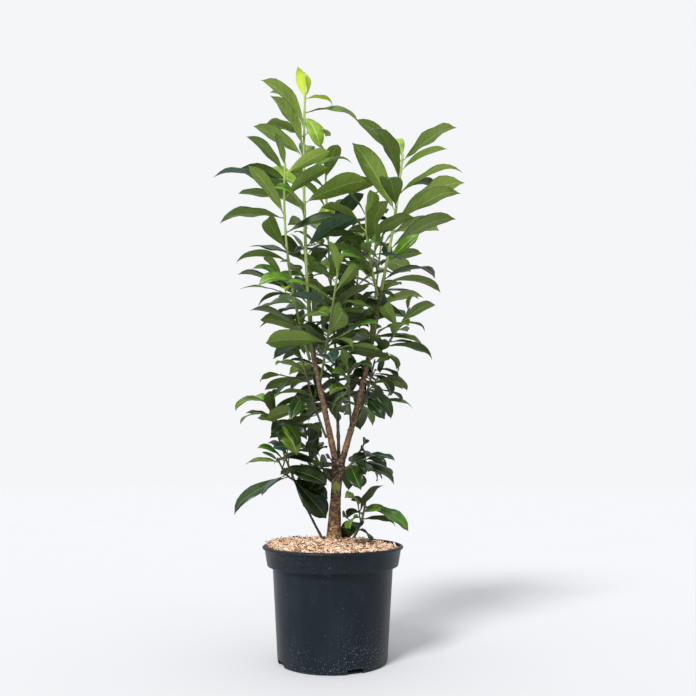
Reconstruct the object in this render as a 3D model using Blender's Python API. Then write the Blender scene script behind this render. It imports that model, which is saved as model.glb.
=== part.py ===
"""A young cherry laurel in a black nursery pot, with a mulch of bark chips.

Metres, +Z up. The origin is the centre of the pot's flat underside and -Y is the front.
The pot, its filling, the trunk and the boughs are one solid each. Each mass of foliage is one
solid too: a green stem that its leaves and side twigs branch from by a seeded rule.
"""

import math
import random
from dataclasses import dataclass

import bmesh
import bpy
from mathutils import Quaternion, Vector
from mathutils.bvhtree import BVHTree

# Clearance between two solids that touch on the real plant
SEAT = 0.0003

# Pot, a ten litre container
POT_HEIGHT = 0.220
POT_WALL = 0.0022
POT_FLOOR = 0.003
BASE_RADIUS = 0.1075
NECK_RADIUS = 0.119
BAND_FOOT_RADIUS = 0.130
BAND_TOP_RADIUS = 0.1355
LIP_RADIUS = 0.140
BAND_FOOT = 0.181
LIP_FOOT = 0.2135
POT_SIDES = 48

# How far the pot's corners are rounded off
BASE_ROUND = 0.0015
BAND_ROUND = 0.0012
LIP_ROUND = 0.0024

# Drain notches cut through the corner of wall and floor
NOTCHES = 4
NOTCH_WIDTH = 0.032
NOTCH_HEIGHT = 0.009
NOTCH_DEPTH = 0.016
NOTCH_FIRST = math.radians(-66.0)

# Compost and chips, heaped a little towards the trunk and at the back left
SOIL_LEVEL = 0.228
SOIL_EDGE_LEVEL = 0.2145
SOIL_PAD_RADIUS = 0.046
SOIL_SLOPE = 1.6
SOIL_LUMP = 0.0022
SOIL_RINGS = 4
SOIL_SEED = 11
HEAP_ANGLE = math.radians(152.0)
HEAP_RISE = 0.008

# Trunk: flare at the soil, slim shaft, and a swelling where it forks
TRUNK_FOOT = Vector((0.002, 0.0, SOIL_LEVEL + SEAT))
TRUNK_FORK = Vector((0.011, 0.0, 0.386))
TRUNK_BOW = Vector((-0.0015, 0.0, 0.0))
TRUNK_PROFILE = ((0.0, 0.0180), (0.05, 0.0156), (0.14, 0.0140), (0.27, 0.0129), (0.42, 0.0113),
                 (0.62, 0.0103), (0.80, 0.0110), (0.93, 0.0138), (1.0, 0.0140))
TRUNK_SIDES = 12

# Faces round a bough, a green stem and a twig
BOUGH_SIDES = 8
STEM_SIDES = 5
TWIG_SIDES = 4

# Length of one straight stretch of a green stem
STEM_STRETCH = 0.075

# What chance decides in the crown follows from this one number
PLANT_SEED = 9

# Leaves stand two fifths of a turn apart along their stem, a little closer towards its tip
DIVERGENCE = math.radians(144.0)
LAST_LEAF = 0.995
LEAF_CROWDING = 0.92

# How far a leaf may differ from the rule
TURN_JITTER = math.radians(26.0)
RISE_JITTER = math.radians(11.0)
ROLL_JITTER = math.radians(55.0)
LENGTH_VARIETY = (0.86, 1.12)
ARCH_VARIETY = (0.55, 1.35)

# Where a leaf has no room it is swung to either side, further each time, and lifted
TRIES = 9
TRY_STEP = math.radians(31.0)
TRY_LIFT = 0.06

# The youngest leaves at a tip are shorter and stand steeper
YOUNG_FROM = 0.84
YOUNG_SHORTER = 0.45
YOUNG_LIFT = math.radians(22.0)

# A leaf: how far along each section lies, and the part of the half width it has there
LEAF_STATIONS = ((0.25, 0.70), (0.58, 1.0), (0.84, 0.64))
LEAF_SLIMNESS = 0.36
LEAF_THICKNESS = 0.012
LEAF_FOLD = math.radians(20.0)
PETIOLE_HALF = 0.0011
PETIOLE_PART = 0.10
LEAF_MARGIN = 0.0014

# The shaded front of the lowest limbs has shed its leaves up to this level, so that they show
BARE_LIMBS = ("trunk", "left_bough", "right_bough")
BARE_LEVEL = 0.585
BARE_HALF_WIDTH = 0.012
BARE_REACH = Vector((0.0, -0.2, 0.0))
BARE_STEPS = 12

# Side twigs, with places as parts of their own length
TWIG_RADIUS = 0.0021
TWIG_TIP_RADIUS = 0.0017
TWIG_VARIETY = (0.80, 1.15)
TWIG_LEAF_PLACES = (0.42, 0.72, 0.97)
TWIG_LEAF_ANGLE = math.radians(52.0)
TWIG_END_JITTER = 0.2
TWIG_CLEAR_PART = 0.2
TWIG_LIFT = 0.35
TWIG_SAG = 0.06
TWIG_DIVERGENCE = math.radians(137.0)
LAST_TWIG = 0.8

# Nothing hangs lower than this over the pot
LOWEST_OVER_POT = SOIL_LEVEL + 0.004
LOWEST_BESIDE_POT = 0.16


@dataclass(frozen=True)
class Bough:
    """One woody tapering limb, from its foot to the place where it enters a mass."""

    name: str
    on: str
    foot: tuple
    tip: tuple
    bow: tuple
    radius: tuple
    joints: int = 7


@dataclass(frozen=True)
class Mass:
    """One mass of foliage: a green stem, and the rule for its twigs and leaves.

    The stem starts at the part `at` of the limb `on`, or in the soil. `leaf` is the length of its
    leaves at the foot and at the tip of the stem, `rise` their height angle there, and `arch` the
    angle that each turns down from root to tip, both in degrees. `reach` holds the few leaves that
    reach furthest out of the crown: the part of the stem, how far the tip lies from the root, and
    in degrees the arch and how far the upper side leans to the back.
    """

    name: str
    on: str
    at: float
    tip: tuple
    bow: tuple
    radius: tuple
    leaves: int
    first: float
    leaf: tuple
    rise: tuple
    arch: tuple
    twigs: int = 0
    twig_length: float = 0.07
    reach: tuple = ()

    @property
    def seed(self):
        """The seed of the whole plant, moved on by the mass's place in the table."""
        return PLANT_SEED + MASSES.index(self)


BOUGHS = (
    Bough("left_bough", "trunk", (0.0042, 0.0), (-0.043, -0.020, 0.607), (0.0, 0.0, 0.0),
          (0.0068, 0.0048)),
    Bough("right_bough", "trunk", (0.0184, -0.001), (0.099, -0.010, 0.735), (0.006, 0.0, 0.0),
          (0.0068, 0.0042)),
    Bough("back_bough", "trunk", (0.0115, 0.0095), (0.004, 0.050, 0.610), (0.0, 0.006, 0.0),
          (0.0038, 0.0030)),
    Bough("low_left_stem", "soil", (-0.0186, -0.008), (-0.114, -0.030, 0.448), (-0.007, 0.0, 0.0),
          (0.0026, 0.0020)),
)

MASSES = (
    Mass("left_leader", on="left_bough", at=1.0, tip=(-0.063, -0.010, 1.165),
         bow=(-0.008, -0.003, 0.0), radius=(0.0040, 0.0020), leaves=17, first=0.08,
         leaf=(0.142, 0.125), rise=(15, 60), arch=(40, 50),
         reach=((0.99, (-0.015, -0.005, 0.070), 10, 80), (0.99, (0.065, -0.010, -0.015), 45, 0),
                (0.93, (0.120, -0.020, -0.020), 45, -30), (0.91, (0.040, -0.030, -0.080), 75, -60),
                (0.86, (-0.090, -0.035, 0.100), 60, 10), (0.83, (-0.085, 0.040, 0.050), 20, 20),
                (0.75, (-0.110, 0.020, 0.085), 20, 30), (0.53, (-0.130, -0.030, 0.100), 25, 35))),
    Mass("left_outer", on="left_bough", at=0.93, tip=(-0.100, -0.060, 0.985),
         bow=(-0.018, 0.0, 0.0), radius=(0.0032, 0.0018), leaves=10, first=0.18,
         leaf=(0.135, 0.135), rise=(10, 50), arch=(35, 35),
         reach=((0.97, (-0.070, -0.030, 0.075), 20, 20), (0.96, (0.095, -0.035, 0.040), 20, 40),
                (0.95, (-0.130, 0.015, 0.065), 20, 0), (0.93, (-0.145, -0.020, 0.010), 15, 0),
                (0.83, (-0.100, 0.030, 0.025), 15, 20), (0.73, (-0.135, -0.020, -0.010), 40, 15),
                (0.57, (-0.130, 0.020, 0.070), 25, 10), (0.51, (-0.105, -0.030, -0.005), 40, 15),
                (0.35, (-0.115, 0.020, 0.050), 25, 0), (0.17, (-0.100, -0.020, 0.040), 20, 15))),
    Mass("right_leader", on="right_bough", at=1.0, tip=(0.147, 0.0, 1.030),
         bow=(0.004, 0.0, 0.0), radius=(0.0034, 0.0020), leaves=10, first=0.08,
         leaf=(0.138, 0.138), rise=(15, 50), arch=(35, 35),
         reach=((0.97, (0.115, 0.010, 0.090), 20, 20), (0.96, (-0.100, -0.010, 0.095), 40, 20),
                (0.72, (0.135, -0.015, 0.060), 25, 0), (0.50, (0.150, 0.060, 0.125), 20, 20),
                (0.58, (-0.085, -0.040, 0.145), 25, 40), (0.50, (0.135, -0.020, 0.070), 20, 10),
                (0.30, (0.140, 0.020, 0.080), 30, 15), (0.20, (0.065, -0.035, 0.055), 15, -60),
                (0.05, (0.125, 0.015, -0.010), 50, 0))),
    Mass("centre_leader", on="back_bough", at=1.0, tip=(-0.021, 0.055, 1.050),
         bow=(-0.003, 0.004, 0.0), radius=(0.0028, 0.0016), leaves=18, first=0.06,
         leaf=(0.125, 0.110), rise=(15, 55), arch=(35, 40),
         reach=((0.77, (0.005, -0.060, -0.100), 55, -60),)),
    Mass("right_inner", on="right_bough", at=0.97, tip=(0.067, -0.055, 0.895),
         bow=(-0.007, -0.006, 0.0), radius=(0.0028, 0.0018), leaves=12, first=0.20,
         leaf=(0.125, 0.105), rise=(15, 55), arch=(30, 35)),
    Mass("right_outer", on="right_bough", at=0.60, tip=(0.158, 0.030, 0.700),
         bow=(0.0, 0.0, -0.012), radius=(0.0026, 0.0017), leaves=9, first=0.25,
         leaf=(0.110, 0.090), rise=(5, 40), arch=(35, 45),
         reach=((0.80, (0.055, 0.010, -0.010), 50, 0), (0.60, (0.055, -0.020, -0.020), 50, -20))),
    Mass("middle_shoot", on="back_bough", at=0.80, tip=(0.052, 0.030, 0.800),
         bow=(0.008, 0.0, 0.0), radius=(0.0026, 0.0016), leaves=13, first=0.20,
         leaf=(0.125, 0.095), rise=(10, 50), arch=(35, 40)),
    Mass("front_shoot", on="left_bough", at=0.72, tip=(0.012, -0.120, 0.760),
         bow=(0.0, -0.012, -0.010), radius=(0.0026, 0.0017), leaves=12, first=0.22,
         leaf=(0.125, 0.095), rise=(10, 45), arch=(35, 40)),
    Mass("back_left_shoot", on="left_bough", at=0.82, tip=(-0.070, 0.130, 0.860),
         bow=(0.0, 0.020, -0.010), radius=(0.0028, 0.0017), leaves=17, first=0.20,
         leaf=(0.130, 0.100), rise=(10, 45), arch=(35, 40)),
    Mass("back_right_shoot", on="right_bough", at=0.55, tip=(0.105, 0.135, 0.870),
         bow=(0.0, 0.020, -0.010), radius=(0.0028, 0.0017), leaves=18, first=0.20,
         leaf=(0.130, 0.100), rise=(10, 45), arch=(35, 40)),
    Mass("left_spur", on="left_bough", at=0.22, tip=(-0.063, -0.022, 0.588),
         bow=(0.0, 0.0, -0.010), radius=(0.0024, 0.0016), leaves=10, first=0.25,
         leaf=(0.105, 0.090), rise=(-15, 15), arch=(40, 45), twigs=2,
         reach=((0.50, (-0.080, -0.020, -0.050), 35, -25),)),
    Mass("right_spur", on="right_bough", at=0.25, tip=(0.084, 0.006, 0.585),
         bow=(0.0, 0.0, -0.010), radius=(0.0024, 0.0016), leaves=10, first=0.25,
         leaf=(0.105, 0.090), rise=(-15, 15), arch=(40, 45), twigs=2,
         reach=((0.83, (0.045, -0.010, -0.045), 90, -30), (0.60, (0.050, -0.020, -0.060), 85, -30))),
    Mass("front_spur", on="right_bough", at=0.20, tip=(0.030, -0.085, 0.560),
         bow=(0.0, 0.0, -0.010), radius=(0.0024, 0.0016), leaves=10, first=0.25,
         leaf=(0.105, 0.090), rise=(-10, 25), arch=(40, 45), twigs=2),
    Mass("back_spur", on="back_bough", at=0.45, tip=(0.010, 0.115, 0.590),
         bow=(0.0, 0.0, -0.012), radius=(0.0024, 0.0016), leaves=14, first=0.25,
         leaf=(0.120, 0.095), rise=(-10, 25), arch=(40, 45), twigs=2),
    Mass("trunk_left_twig", on="trunk", at=0.78, tip=(-0.035, -0.012, 0.395),
         bow=(0.0, 0.0, -0.006), radius=(0.0022, 0.0016), leaves=5, first=0.15,
         leaf=(0.090, 0.080), rise=(-20, 15), arch=(30, 40),
         reach=((0.60, (-0.065, -0.030, 0.020), 20, -30),)),
    Mass("trunk_right_twig", on="trunk", at=0.88, tip=(0.060, -0.020, 0.415),
         bow=(0.0, 0.0, -0.006), radius=(0.0022, 0.0016), leaves=6, first=0.15,
         leaf=(0.090, 0.080), rise=(-30, 15), arch=(30, 40),
         reach=((0.40, (0.090, -0.020, -0.035), 35, -30), (0.20, (0.075, 0.020, -0.020), 35, -20))),
    Mass("low_left_shoot", on="low_left_stem", at=1.0, tip=(-0.125, -0.035, 0.500),
         bow=(-0.004, 0.0, 0.0), radius=(0.0022, 0.0015), leaves=6, first=0.10,
         leaf=(0.090, 0.080), rise=(0, 45), arch=(50, 60),
         reach=((0.90, (-0.075, -0.010, -0.010), 100, -20), (0.88, (0.010, -0.020, 0.045), 20, 45),
                (0.50, (-0.055, 0.020, 0.010), 25, -30))),
    Mass("low_left_twigs", on="low_left_stem", at=0.55, tip=(-0.105, -0.060, 0.385),
         bow=(0.0, 0.0, -0.006), radius=(0.0020, 0.0015), leaves=4, first=0.10,
         leaf=(0.095, 0.085), rise=(-35, 5), arch=(20, 30),
         reach=((0.30, (-0.110, -0.030, -0.065), 35, -30), (0.95, (-0.070, 0.020, 0.0), 40, -30),
                (0.05, (0.070, -0.010, -0.075), 20, -60))),
    Mass("low_right_shoot", on="soil", at=0.0, tip=(0.064, -0.016, 0.300),
         bow=(0.004, 0.0, -0.004), radius=(0.0022, 0.0016), leaves=10, first=0.15,
         leaf=(0.070, 0.070), rise=(-20, 20), arch=(30, 40),
         reach=((0.93, (0.090, -0.020, -0.040), 40, -30), (0.60, (-0.045, -0.010, 0.015), 30, -50))),
)

# Where a shoot rises straight from the soil
SOIL_SHOOT_FOOT = Vector((0.036, -0.012, SOIL_LEVEL + SEAT))

# Edges between faces that meet at more than this stay sharp on round solids
SHARP_ANGLE = math.radians(40.0)

# Each solid's colour, roughness and metallic value
FINISHES = {
    "pot": ((0.020, 0.026, 0.032), 0.42, 0.0),
    "compost": ((0.520, 0.300, 0.150), 0.90, 0.0),
    "bark": ((0.160, 0.095, 0.060), 0.85, 0.0),
    "leaf": ((0.080, 0.160, 0.025), 0.35, 0.0),
}


def new_material(name, finish):
    """Returns a Principled material of its own name with one of the finishes."""
    colour, roughness, metallic = FINISHES[finish]
    material = bpy.data.materials.new(name)
    material.use_nodes = True
    shader = material.node_tree.nodes["Principled BSDF"]
    shader.inputs["Base Color"].default_value = (*colour, 1.0)
    shader.inputs["Roughness"].default_value = roughness
    shader.inputs["Metallic"].default_value = metallic
    return material


def clear_scene():
    """Removes every object of the open scene."""
    for thing in list(bpy.data.objects):
        bpy.data.objects.remove(thing, do_unlink=True)


def add_object(name, bm, finish=None, smooth=False):
    """Turns a bmesh into an object of the scene, with its faces pointing out."""
    bmesh.ops.recalc_face_normals(bm, faces=bm.faces)
    mesh = bpy.data.meshes.new(name)
    bm.to_mesh(mesh)
    bm.free()
    thing = bpy.data.objects.new(name, mesh)
    bpy.context.scene.collection.objects.link(thing)
    if smooth:
        mesh.shade_smooth()
        mesh.set_sharp_from_angle(angle=SHARP_ANGLE)
    if finish is not None:
        mesh.materials.append(new_material(name, finish))
    return thing


def sweep(rings, tip=None):
    """Extrudes a cap through a row of rings, and draws the last one to a tip where given."""
    bm = bmesh.new()
    face = bm.faces.new([bm.verts.new(point) for point in rings[0]])
    first = face
    for ring in rings[1:]:
        grown = bmesh.ops.extrude_face_region(bm, geom=[face])
        if face is not first:
            bmesh.ops.delete(bm, geom=[face], context="FACES_ONLY")
        face = [item for item in grown["geom"] if isinstance(item, bmesh.types.BMFace)][0]
        for vert, point in zip(face.verts, ring):
            vert.co = point
    if tip is not None:
        grown = bmesh.ops.poke(bm, faces=[face])
        grown["verts"][0].co = tip
    return bm


def arc_point(foot, tip, bow, part):
    """A point on the curve from foot to tip that swings out by bow half way."""
    return foot.lerp(tip, part) + bow * (4.0 * part * (1.0 - part))


def arc_way(foot, tip, bow, part):
    """The direction of that curve."""
    return (tip - foot + bow * (4.0 - 8.0 * part)).normalized()


def ring(centre, way, radius, sides, turn=0.0):
    """The corners of a regular section across a limb."""
    spin = Vector((0.0, 0.0, 1.0)).rotation_difference(way)
    points = []
    for corner in range(sides):
        angle = turn + math.tau * corner / sides
        flat = Vector((math.cos(angle) * radius, math.sin(angle) * radius, 0.0))
        points.append(centre + spin @ flat)
    return points


class Stem:
    """A tapering limb on a curve, whose foot is cut square to a given direction."""

    def __init__(self, foot, tip, bow, foot_radius, tip_radius, sides, joints, cut=None):
        self.foot = foot
        self.tip = tip
        self.bow = bow
        self.radii = (foot_radius, tip_radius)
        self.sides = sides
        self.joints = joints
        self.cut = cut

    def point(self, part):
        """The middle of the limb at a part of its length."""
        return arc_point(self.foot, self.tip, self.bow, part)

    def way(self, part):
        """The direction of the limb at a part of its length."""
        if part <= 0.0 and self.cut is not None:
            return self.cut
        return arc_way(self.foot, self.tip, self.bow, part)

    def radius(self, part):
        """The radius of the limb at a part of its length."""
        return self.radii[0] + (self.radii[1] - self.radii[0]) * part

    def rings(self, swell=0.0):
        """The sections along the limb."""
        parts = [step / self.joints for step in range(self.joints + 1)]
        return [ring(self.point(p), self.way(p), self.radius(p) + swell, self.sides) for p in parts]


class Trunk(Stem):
    """The trunk, whose radius follows its own profile."""

    def __init__(self):
        super().__init__(TRUNK_FOOT, TRUNK_FORK, TRUNK_BOW, 0.0, 0.0, TRUNK_SIDES, 0,
                         Vector((0.0, 0.0, 1.0)))

    def way(self, part):
        """Upright at both ends, so that foot and fork are cut level."""
        if part <= 0.0 or part >= 1.0:
            return Vector((0.0, 0.0, 1.0))
        return super().way(part)

    def radius(self, part):
        """Reads the trunk's profile."""
        for (low, low_radius), (high, high_radius) in zip(TRUNK_PROFILE, TRUNK_PROFILE[1:]):
            if part <= high:
                return low_radius + (high_radius - low_radius) * (part - low) / (high - low)
        return TRUNK_PROFILE[-1][1]

    def rings(self, swell=0.0):
        """One section for each step of the profile."""
        parts = [part for part, _ in TRUNK_PROFILE]
        return [ring(self.point(p), self.way(p), self.radius(p) + swell, self.sides) for p in parts]


class Leaf:
    """A folded, arching leaf, from its root on the stem's axis to its tip."""

    def __init__(self, root, turn, rise, length, arch, roll, fold=LEAF_FOLD):
        out = Vector((math.cos(turn), math.sin(turn), 0.0))
        up = Vector((0.0, 0.0, 1.0))
        self.root = root
        self.length = length
        self.arch = max(arch, 0.02)
        self.fold = fold
        self.way = out * math.cos(rise) + up * math.sin(rise)
        spin = Quaternion(self.way, roll)
        self.face = spin @ (up * math.cos(rise) - out * math.sin(rise))
        self.side = self.way.cross(self.face)

    def midrib(self, part):
        """The point of the midrib at a part of the length, and the blade's face there."""
        bend = self.arch * part
        along = self.way * math.sin(bend) - self.face * (1.0 - math.cos(bend))
        face = self.face * math.cos(bend) + self.way * math.sin(bend)
        return self.root + along * (self.length / self.arch), face

    def section(self, part, half_width, half_depth):
        """Left edge, upper middle, right edge and lower middle of the blade."""
        centre, face = self.midrib(part)
        edge = self.side * (half_width * math.cos(self.fold))
        lift = face * (half_width * math.sin(self.fold))
        return [centre - edge + lift, centre + face * half_depth, centre + edge + lift,
                centre - face * half_depth]

    def body(self, start=0.0, margin=0.0):
        """The leaf as a thin closed body from a part of its length on, larger by the margin."""
        half_width = 0.5 * LEAF_SLIMNESS * self.length
        half_depth = 0.5 * LEAF_THICKNESS * self.length + margin
        rings = [self.section(start, PETIOLE_HALF, PETIOLE_HALF)]
        for part, share in LEAF_STATIONS:
            rings.append(self.section(part, half_width * share + margin, half_depth))
        return sweep(rings, self.midrib(1.0)[0])


class ReachingLeaf(Leaf):
    """A leaf whose tip lies at a given place from its root.

    Its upper side leans to the back by an angle, and it arches evenly on both sides of the
    straight line from root to tip.
    """

    def __init__(self, root, reach, arch, lean, fold=LEAF_FOLD):
        line = reach.normalized()
        up = Vector((0.0, math.sin(lean), math.cos(lean)))
        face = (up - line * up.dot(line)).normalized()
        half = 0.5 * arch
        self.root = root
        self.length = reach.length * half / math.sin(half)
        self.arch = arch
        self.fold = fold
        self.way = line * math.cos(half) + face * math.sin(half)
        self.face = face * math.cos(half) - line * math.sin(half)
        self.side = self.way.cross(self.face)


def box_of(bm):
    """The lowest and highest corners of a bmesh."""
    corners = [vert.co for vert in bm.verts]
    low = tuple(min(corner[axis] for corner in corners) for axis in range(3))
    high = tuple(max(corner[axis] for corner in corners) for axis in range(3))
    return low, high


def boxes_meet(first, second):
    """Whether two boxes touch."""
    return all(first[0][axis] <= second[1][axis] and second[0][axis] <= first[1][axis]
               for axis in range(3))


class Crown:
    """What already stands in the crown, for testing a new leaf or twig against it."""

    def __init__(self):
        self.things = []

    def add(self, owner, bm):
        """Notes a body of one limb or mass that later ones keep clear of, and frees it."""
        self.things.append((owner, box_of(bm), BVHTree.FromBMesh(bm)))
        bm.free()

    def add_bare_front(self, name, limb):
        """Notes sheets before a limb, where its leaves have been shed, so that it shows."""
        bm = bmesh.new()
        for side in (-BARE_HALF_WIDTH, 0.0, BARE_HALF_WIDTH):
            rows = []
            for step in range(BARE_STEPS + 1):
                near = limb.point(step / BARE_STEPS) + Vector((side, 0.0, 0.0))
                if near.z <= BARE_LEVEL:
                    rows.append((bm.verts.new(near), bm.verts.new(near + BARE_REACH)))
            for low, high in zip(rows, rows[1:]):
                bm.faces.new((low[0], low[1], high[1], high[0]))
        self.add("front of " + name, bm)

    def takes(self, owner, whole, outer):
        """Adds a new body if it has room, and frees what it was given.

        The whole body is tested against other masses, and only its outer part, which starts
        clear of its own stem, against its own mass.
        """
        box = box_of(whole)
        near = min(math.hypot(vert.co.x, vert.co.y) for vert in whole.verts)
        lowest = LOWEST_OVER_POT if near < LIP_RADIUS + 0.01 else LOWEST_BESIDE_POT
        room = box[0][2] >= lowest
        if room:
            whole_tree = BVHTree.FromBMesh(whole)
            outer_tree = BVHTree.FromBMesh(outer)
            for other_owner, other_box, other_tree in self.things:
                if boxes_meet(box, other_box):
                    tested = outer_tree if other_owner == owner else whole_tree
                    if tested.overlap(other_tree):
                        room = False
                        break
        if room:
            self.things.append((owner, box, whole_tree))
        whole.free()
        outer.free()
        return room


def mix(ends, part):
    """A value between the two ends of a range."""
    return ends[0] + (ends[1] - ends[0]) * part


def stem_of_mass(mass, limbs):
    """The green stem of a mass, seated on the limb that carries it."""
    tip = Vector(mass.tip)
    bow = Vector(mass.bow)
    foot_radius, tip_radius = mass.radius
    if mass.on == "soil":
        foot = SOIL_SHOOT_FOOT.copy()
        cut = Vector((0.0, 0.0, 1.0))
    elif mass.at >= 1.0:
        limb = limbs[mass.on]
        cut = limb.way(1.0)
        foot = limb.point(1.0) + cut * SEAT
    else:
        limb = limbs[mass.on]
        axis = limb.way(mass.at)
        middle = limb.point(mass.at)
        aim = tip + bow * 4.0 - middle
        out = (aim - axis * aim.dot(axis)).normalized()
        cut = arc_way(middle, tip, bow, 0.0)
        lean = min(1.0, max(0.0, cut.dot(out)))
        reach = limb.radius(mass.at) + SEAT + foot_radius * math.sqrt(1.0 - lean * lean)
        foot = middle + out * reach
    joints = max(3, round((tip - foot).length / STEM_STRETCH))
    return Stem(foot, tip, bow, foot_radius, tip_radius, STEM_SIDES, joints, cut)


def has_room(leaf, mass, crown):
    """Whether a leaf stands clear of all that the crown already holds, which then holds it too."""
    return crown.takes(mass.name, leaf.body(0.0, LEAF_MARGIN), leaf.body(PETIOLE_PART, LEAF_MARGIN))


def reaching_leaves(mass, stem, crown):
    """The leaves of a mass that reach furthest out of the crown."""
    leaves = []
    for part, reach, arch, lean in mass.reach:
        leaf = ReachingLeaf(stem.point(part), Vector(reach), math.radians(arch), math.radians(lean))
        if has_room(leaf, mass, crown):
            leaves.append(leaf)
    return leaves


def grow_leaf(rng, mass, root, turn, along, crown):
    """Tries seeded turns of one leaf until it has room, and returns it or nothing."""
    young = max(0.0, (along - YOUNG_FROM) / (1.0 - YOUNG_FROM))
    length = mix(mass.leaf, along) * rng.uniform(*LENGTH_VARIETY) * (1.0 - YOUNG_SHORTER * young)
    rise = math.radians(mix(mass.rise, along)) + rng.uniform(-RISE_JITTER, RISE_JITTER)
    rise += YOUNG_LIFT * young
    arch = math.radians(mix(mass.arch, along)) * rng.uniform(*ARCH_VARIETY)
    roll = rng.uniform(-ROLL_JITTER, ROLL_JITTER)
    for attempt in range(TRIES):
        swing = TRY_STEP * ((attempt + 1) // 2) * (1 if attempt % 2 else -1)
        leaf = Leaf(root, turn + swing, rise + TRY_LIFT * attempt, length, arch, roll)
        if has_room(leaf, mass, crown):
            return leaf
    return None


def grow_twig(rng, mass, stem, part, turn, crown):
    """A side twig with its leaves, or nothing where there is no room."""
    rise = math.radians(mix(mass.rise, part)) + TWIG_LIFT
    way = Vector((math.cos(turn) * math.cos(rise), math.sin(turn) * math.cos(rise), math.sin(rise)))
    length = mass.twig_length * rng.uniform(*TWIG_VARIETY)
    foot = stem.point(part)
    tip = foot + way * length
    bow = Vector((0.0, 0.0, -TWIG_SAG * length))
    twig = Stem(foot, tip, bow, TWIG_RADIUS, TWIG_TIP_RADIUS, TWIG_SIDES, 2)
    outer = Stem(twig.point(TWIG_CLEAR_PART), tip, bow, TWIG_RADIUS, TWIG_TIP_RADIUS, TWIG_SIDES, 1)
    if not crown.takes(mass.name, sweep(twig.rings(LEAF_MARGIN)), sweep(outer.rings(LEAF_MARGIN))):
        return None, []
    leaves = []
    for number, place in enumerate(TWIG_LEAF_PLACES):
        side = TWIG_LEAF_ANGLE if number % 2 else -TWIG_LEAF_ANGLE
        if place == TWIG_LEAF_PLACES[-1]:
            side = rng.uniform(-TWIG_END_JITTER, TWIG_END_JITTER)
        leaf = grow_leaf(rng, mass, twig.point(place), turn + side, part, crown)
        if leaf is not None:
            leaves.append(leaf)
    return twig, leaves


def grow_mass(mass, stem, crown):
    """Grows the twigs and leaves of a mass on its stem by its seeded rule."""
    rng = random.Random(mass.seed)
    turn = rng.uniform(0.0, math.tau)
    twigs = []
    leaves = []
    for number in range(mass.twigs):
        part = mix((mass.first, LAST_TWIG), (number + 0.5) / mass.twigs)
        side = turn + number * TWIG_DIVERGENCE
        twig, twig_leaves = grow_twig(rng, mass, stem, part, side, crown)
        if twig is not None:
            twigs.append(twig)
            leaves.extend(twig_leaves)
    for number in range(mass.leaves):
        along = number / max(1, mass.leaves - 1)
        part = mix((mass.first, LAST_LEAF), along ** LEAF_CROWDING)
        turn += DIVERGENCE + rng.uniform(-TURN_JITTER, TURN_JITTER)
        leaf = grow_leaf(rng, mass, stem.point(part), turn, along, crown)
        if leaf is not None:
            leaves.append(leaf)
    return twigs, leaves


def limb_of_bough(bough):
    """The limb of a bough, seated on the trunk's fork or on the soil."""
    level = TRUNK_FORK.z if bough.on == "trunk" else SOIL_LEVEL
    foot = Vector((*bough.foot, level + SEAT))
    return Stem(foot, Vector(bough.tip), Vector(bough.bow), *bough.radius, BOUGH_SIDES,
                bough.joints, Vector((0.0, 0.0, 1.0)))


def grow_plant():
    """Grows the whole plant: its limbs, and the stem, twigs and leaves of each mass."""
    limbs = {"trunk": Trunk()}
    for bough in BOUGHS:
        limbs[bough.name] = limb_of_bough(bough)
    crown = Crown()
    for name, limb in limbs.items():
        crown.add(name, sweep(limb.rings()))
    for name in BARE_LIMBS:
        crown.add_bare_front(name, limbs[name])
    stems = {mass.name: stem_of_mass(mass, limbs) for mass in MASSES}
    for name, stem in stems.items():
        crown.add(name, sweep(stem.rings()))
    placed = {mass.name: reaching_leaves(mass, stems[mass.name], crown) for mass in MASSES}
    masses = {}
    for mass in MASSES:
        twigs, leaves = grow_mass(mass, stems[mass.name], crown)
        masses[mass.name] = (stems[mass.name], twigs, placed[mass.name] + leaves)
    return limbs, masses


def combine(thing, others, operation):
    """Joins or cuts an object with a list of others by one Boolean, and removes those."""
    group = bpy.data.collections.new(thing.name + "_operands")
    bpy.context.scene.collection.children.link(group)
    for other in others:
        bpy.context.scene.collection.objects.unlink(other)
        group.objects.link(other)
    boolean = thing.modifiers.new("combine", "BOOLEAN")
    boolean.operation = operation
    boolean.operand_type = "COLLECTION"
    boolean.collection = group
    boolean.solver = "EXACT"
    graph = bpy.context.evaluated_depsgraph_get()
    mesh = bpy.data.meshes.new_from_object(thing.evaluated_get(graph))
    thing.modifiers.remove(boolean)
    old = thing.data
    thing.data = mesh
    bpy.data.meshes.remove(old)
    for other in others:
        bpy.data.objects.remove(other, do_unlink=True)
    bpy.data.collections.remove(group)


def keep_main_body(thing):
    """Fills sealed hollows and drops loose scraps: only the largest shell stays."""
    bm = bmesh.new()
    bm.from_mesh(thing.data)
    bmesh.ops.remove_doubles(bm, verts=bm.verts, dist=1e-6)
    unseen = set(bm.faces)
    shells = []
    while unseen:
        shell = {unseen.pop()}
        edge_of_search = list(shell)
        while edge_of_search:
            face = edge_of_search.pop()
            for edge in face.edges:
                for near in edge.link_faces:
                    if near in unseen:
                        unseen.remove(near)
                        shell.add(near)
                        edge_of_search.append(near)
        shells.append(shell)
    shells.sort(key=lambda shell: sum(face.calc_area() for face in shell), reverse=True)
    extra = [face for shell in shells[1:] for face in shell]
    if extra:
        bmesh.ops.delete(bm, geom=extra, context="FACES")
    bm.to_mesh(thing.data)
    bm.free()


def make_limb(name, limb):
    """The object of the trunk or of a bough."""
    return add_object(name, sweep(limb.rings()), "bark", smooth=True)


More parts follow.
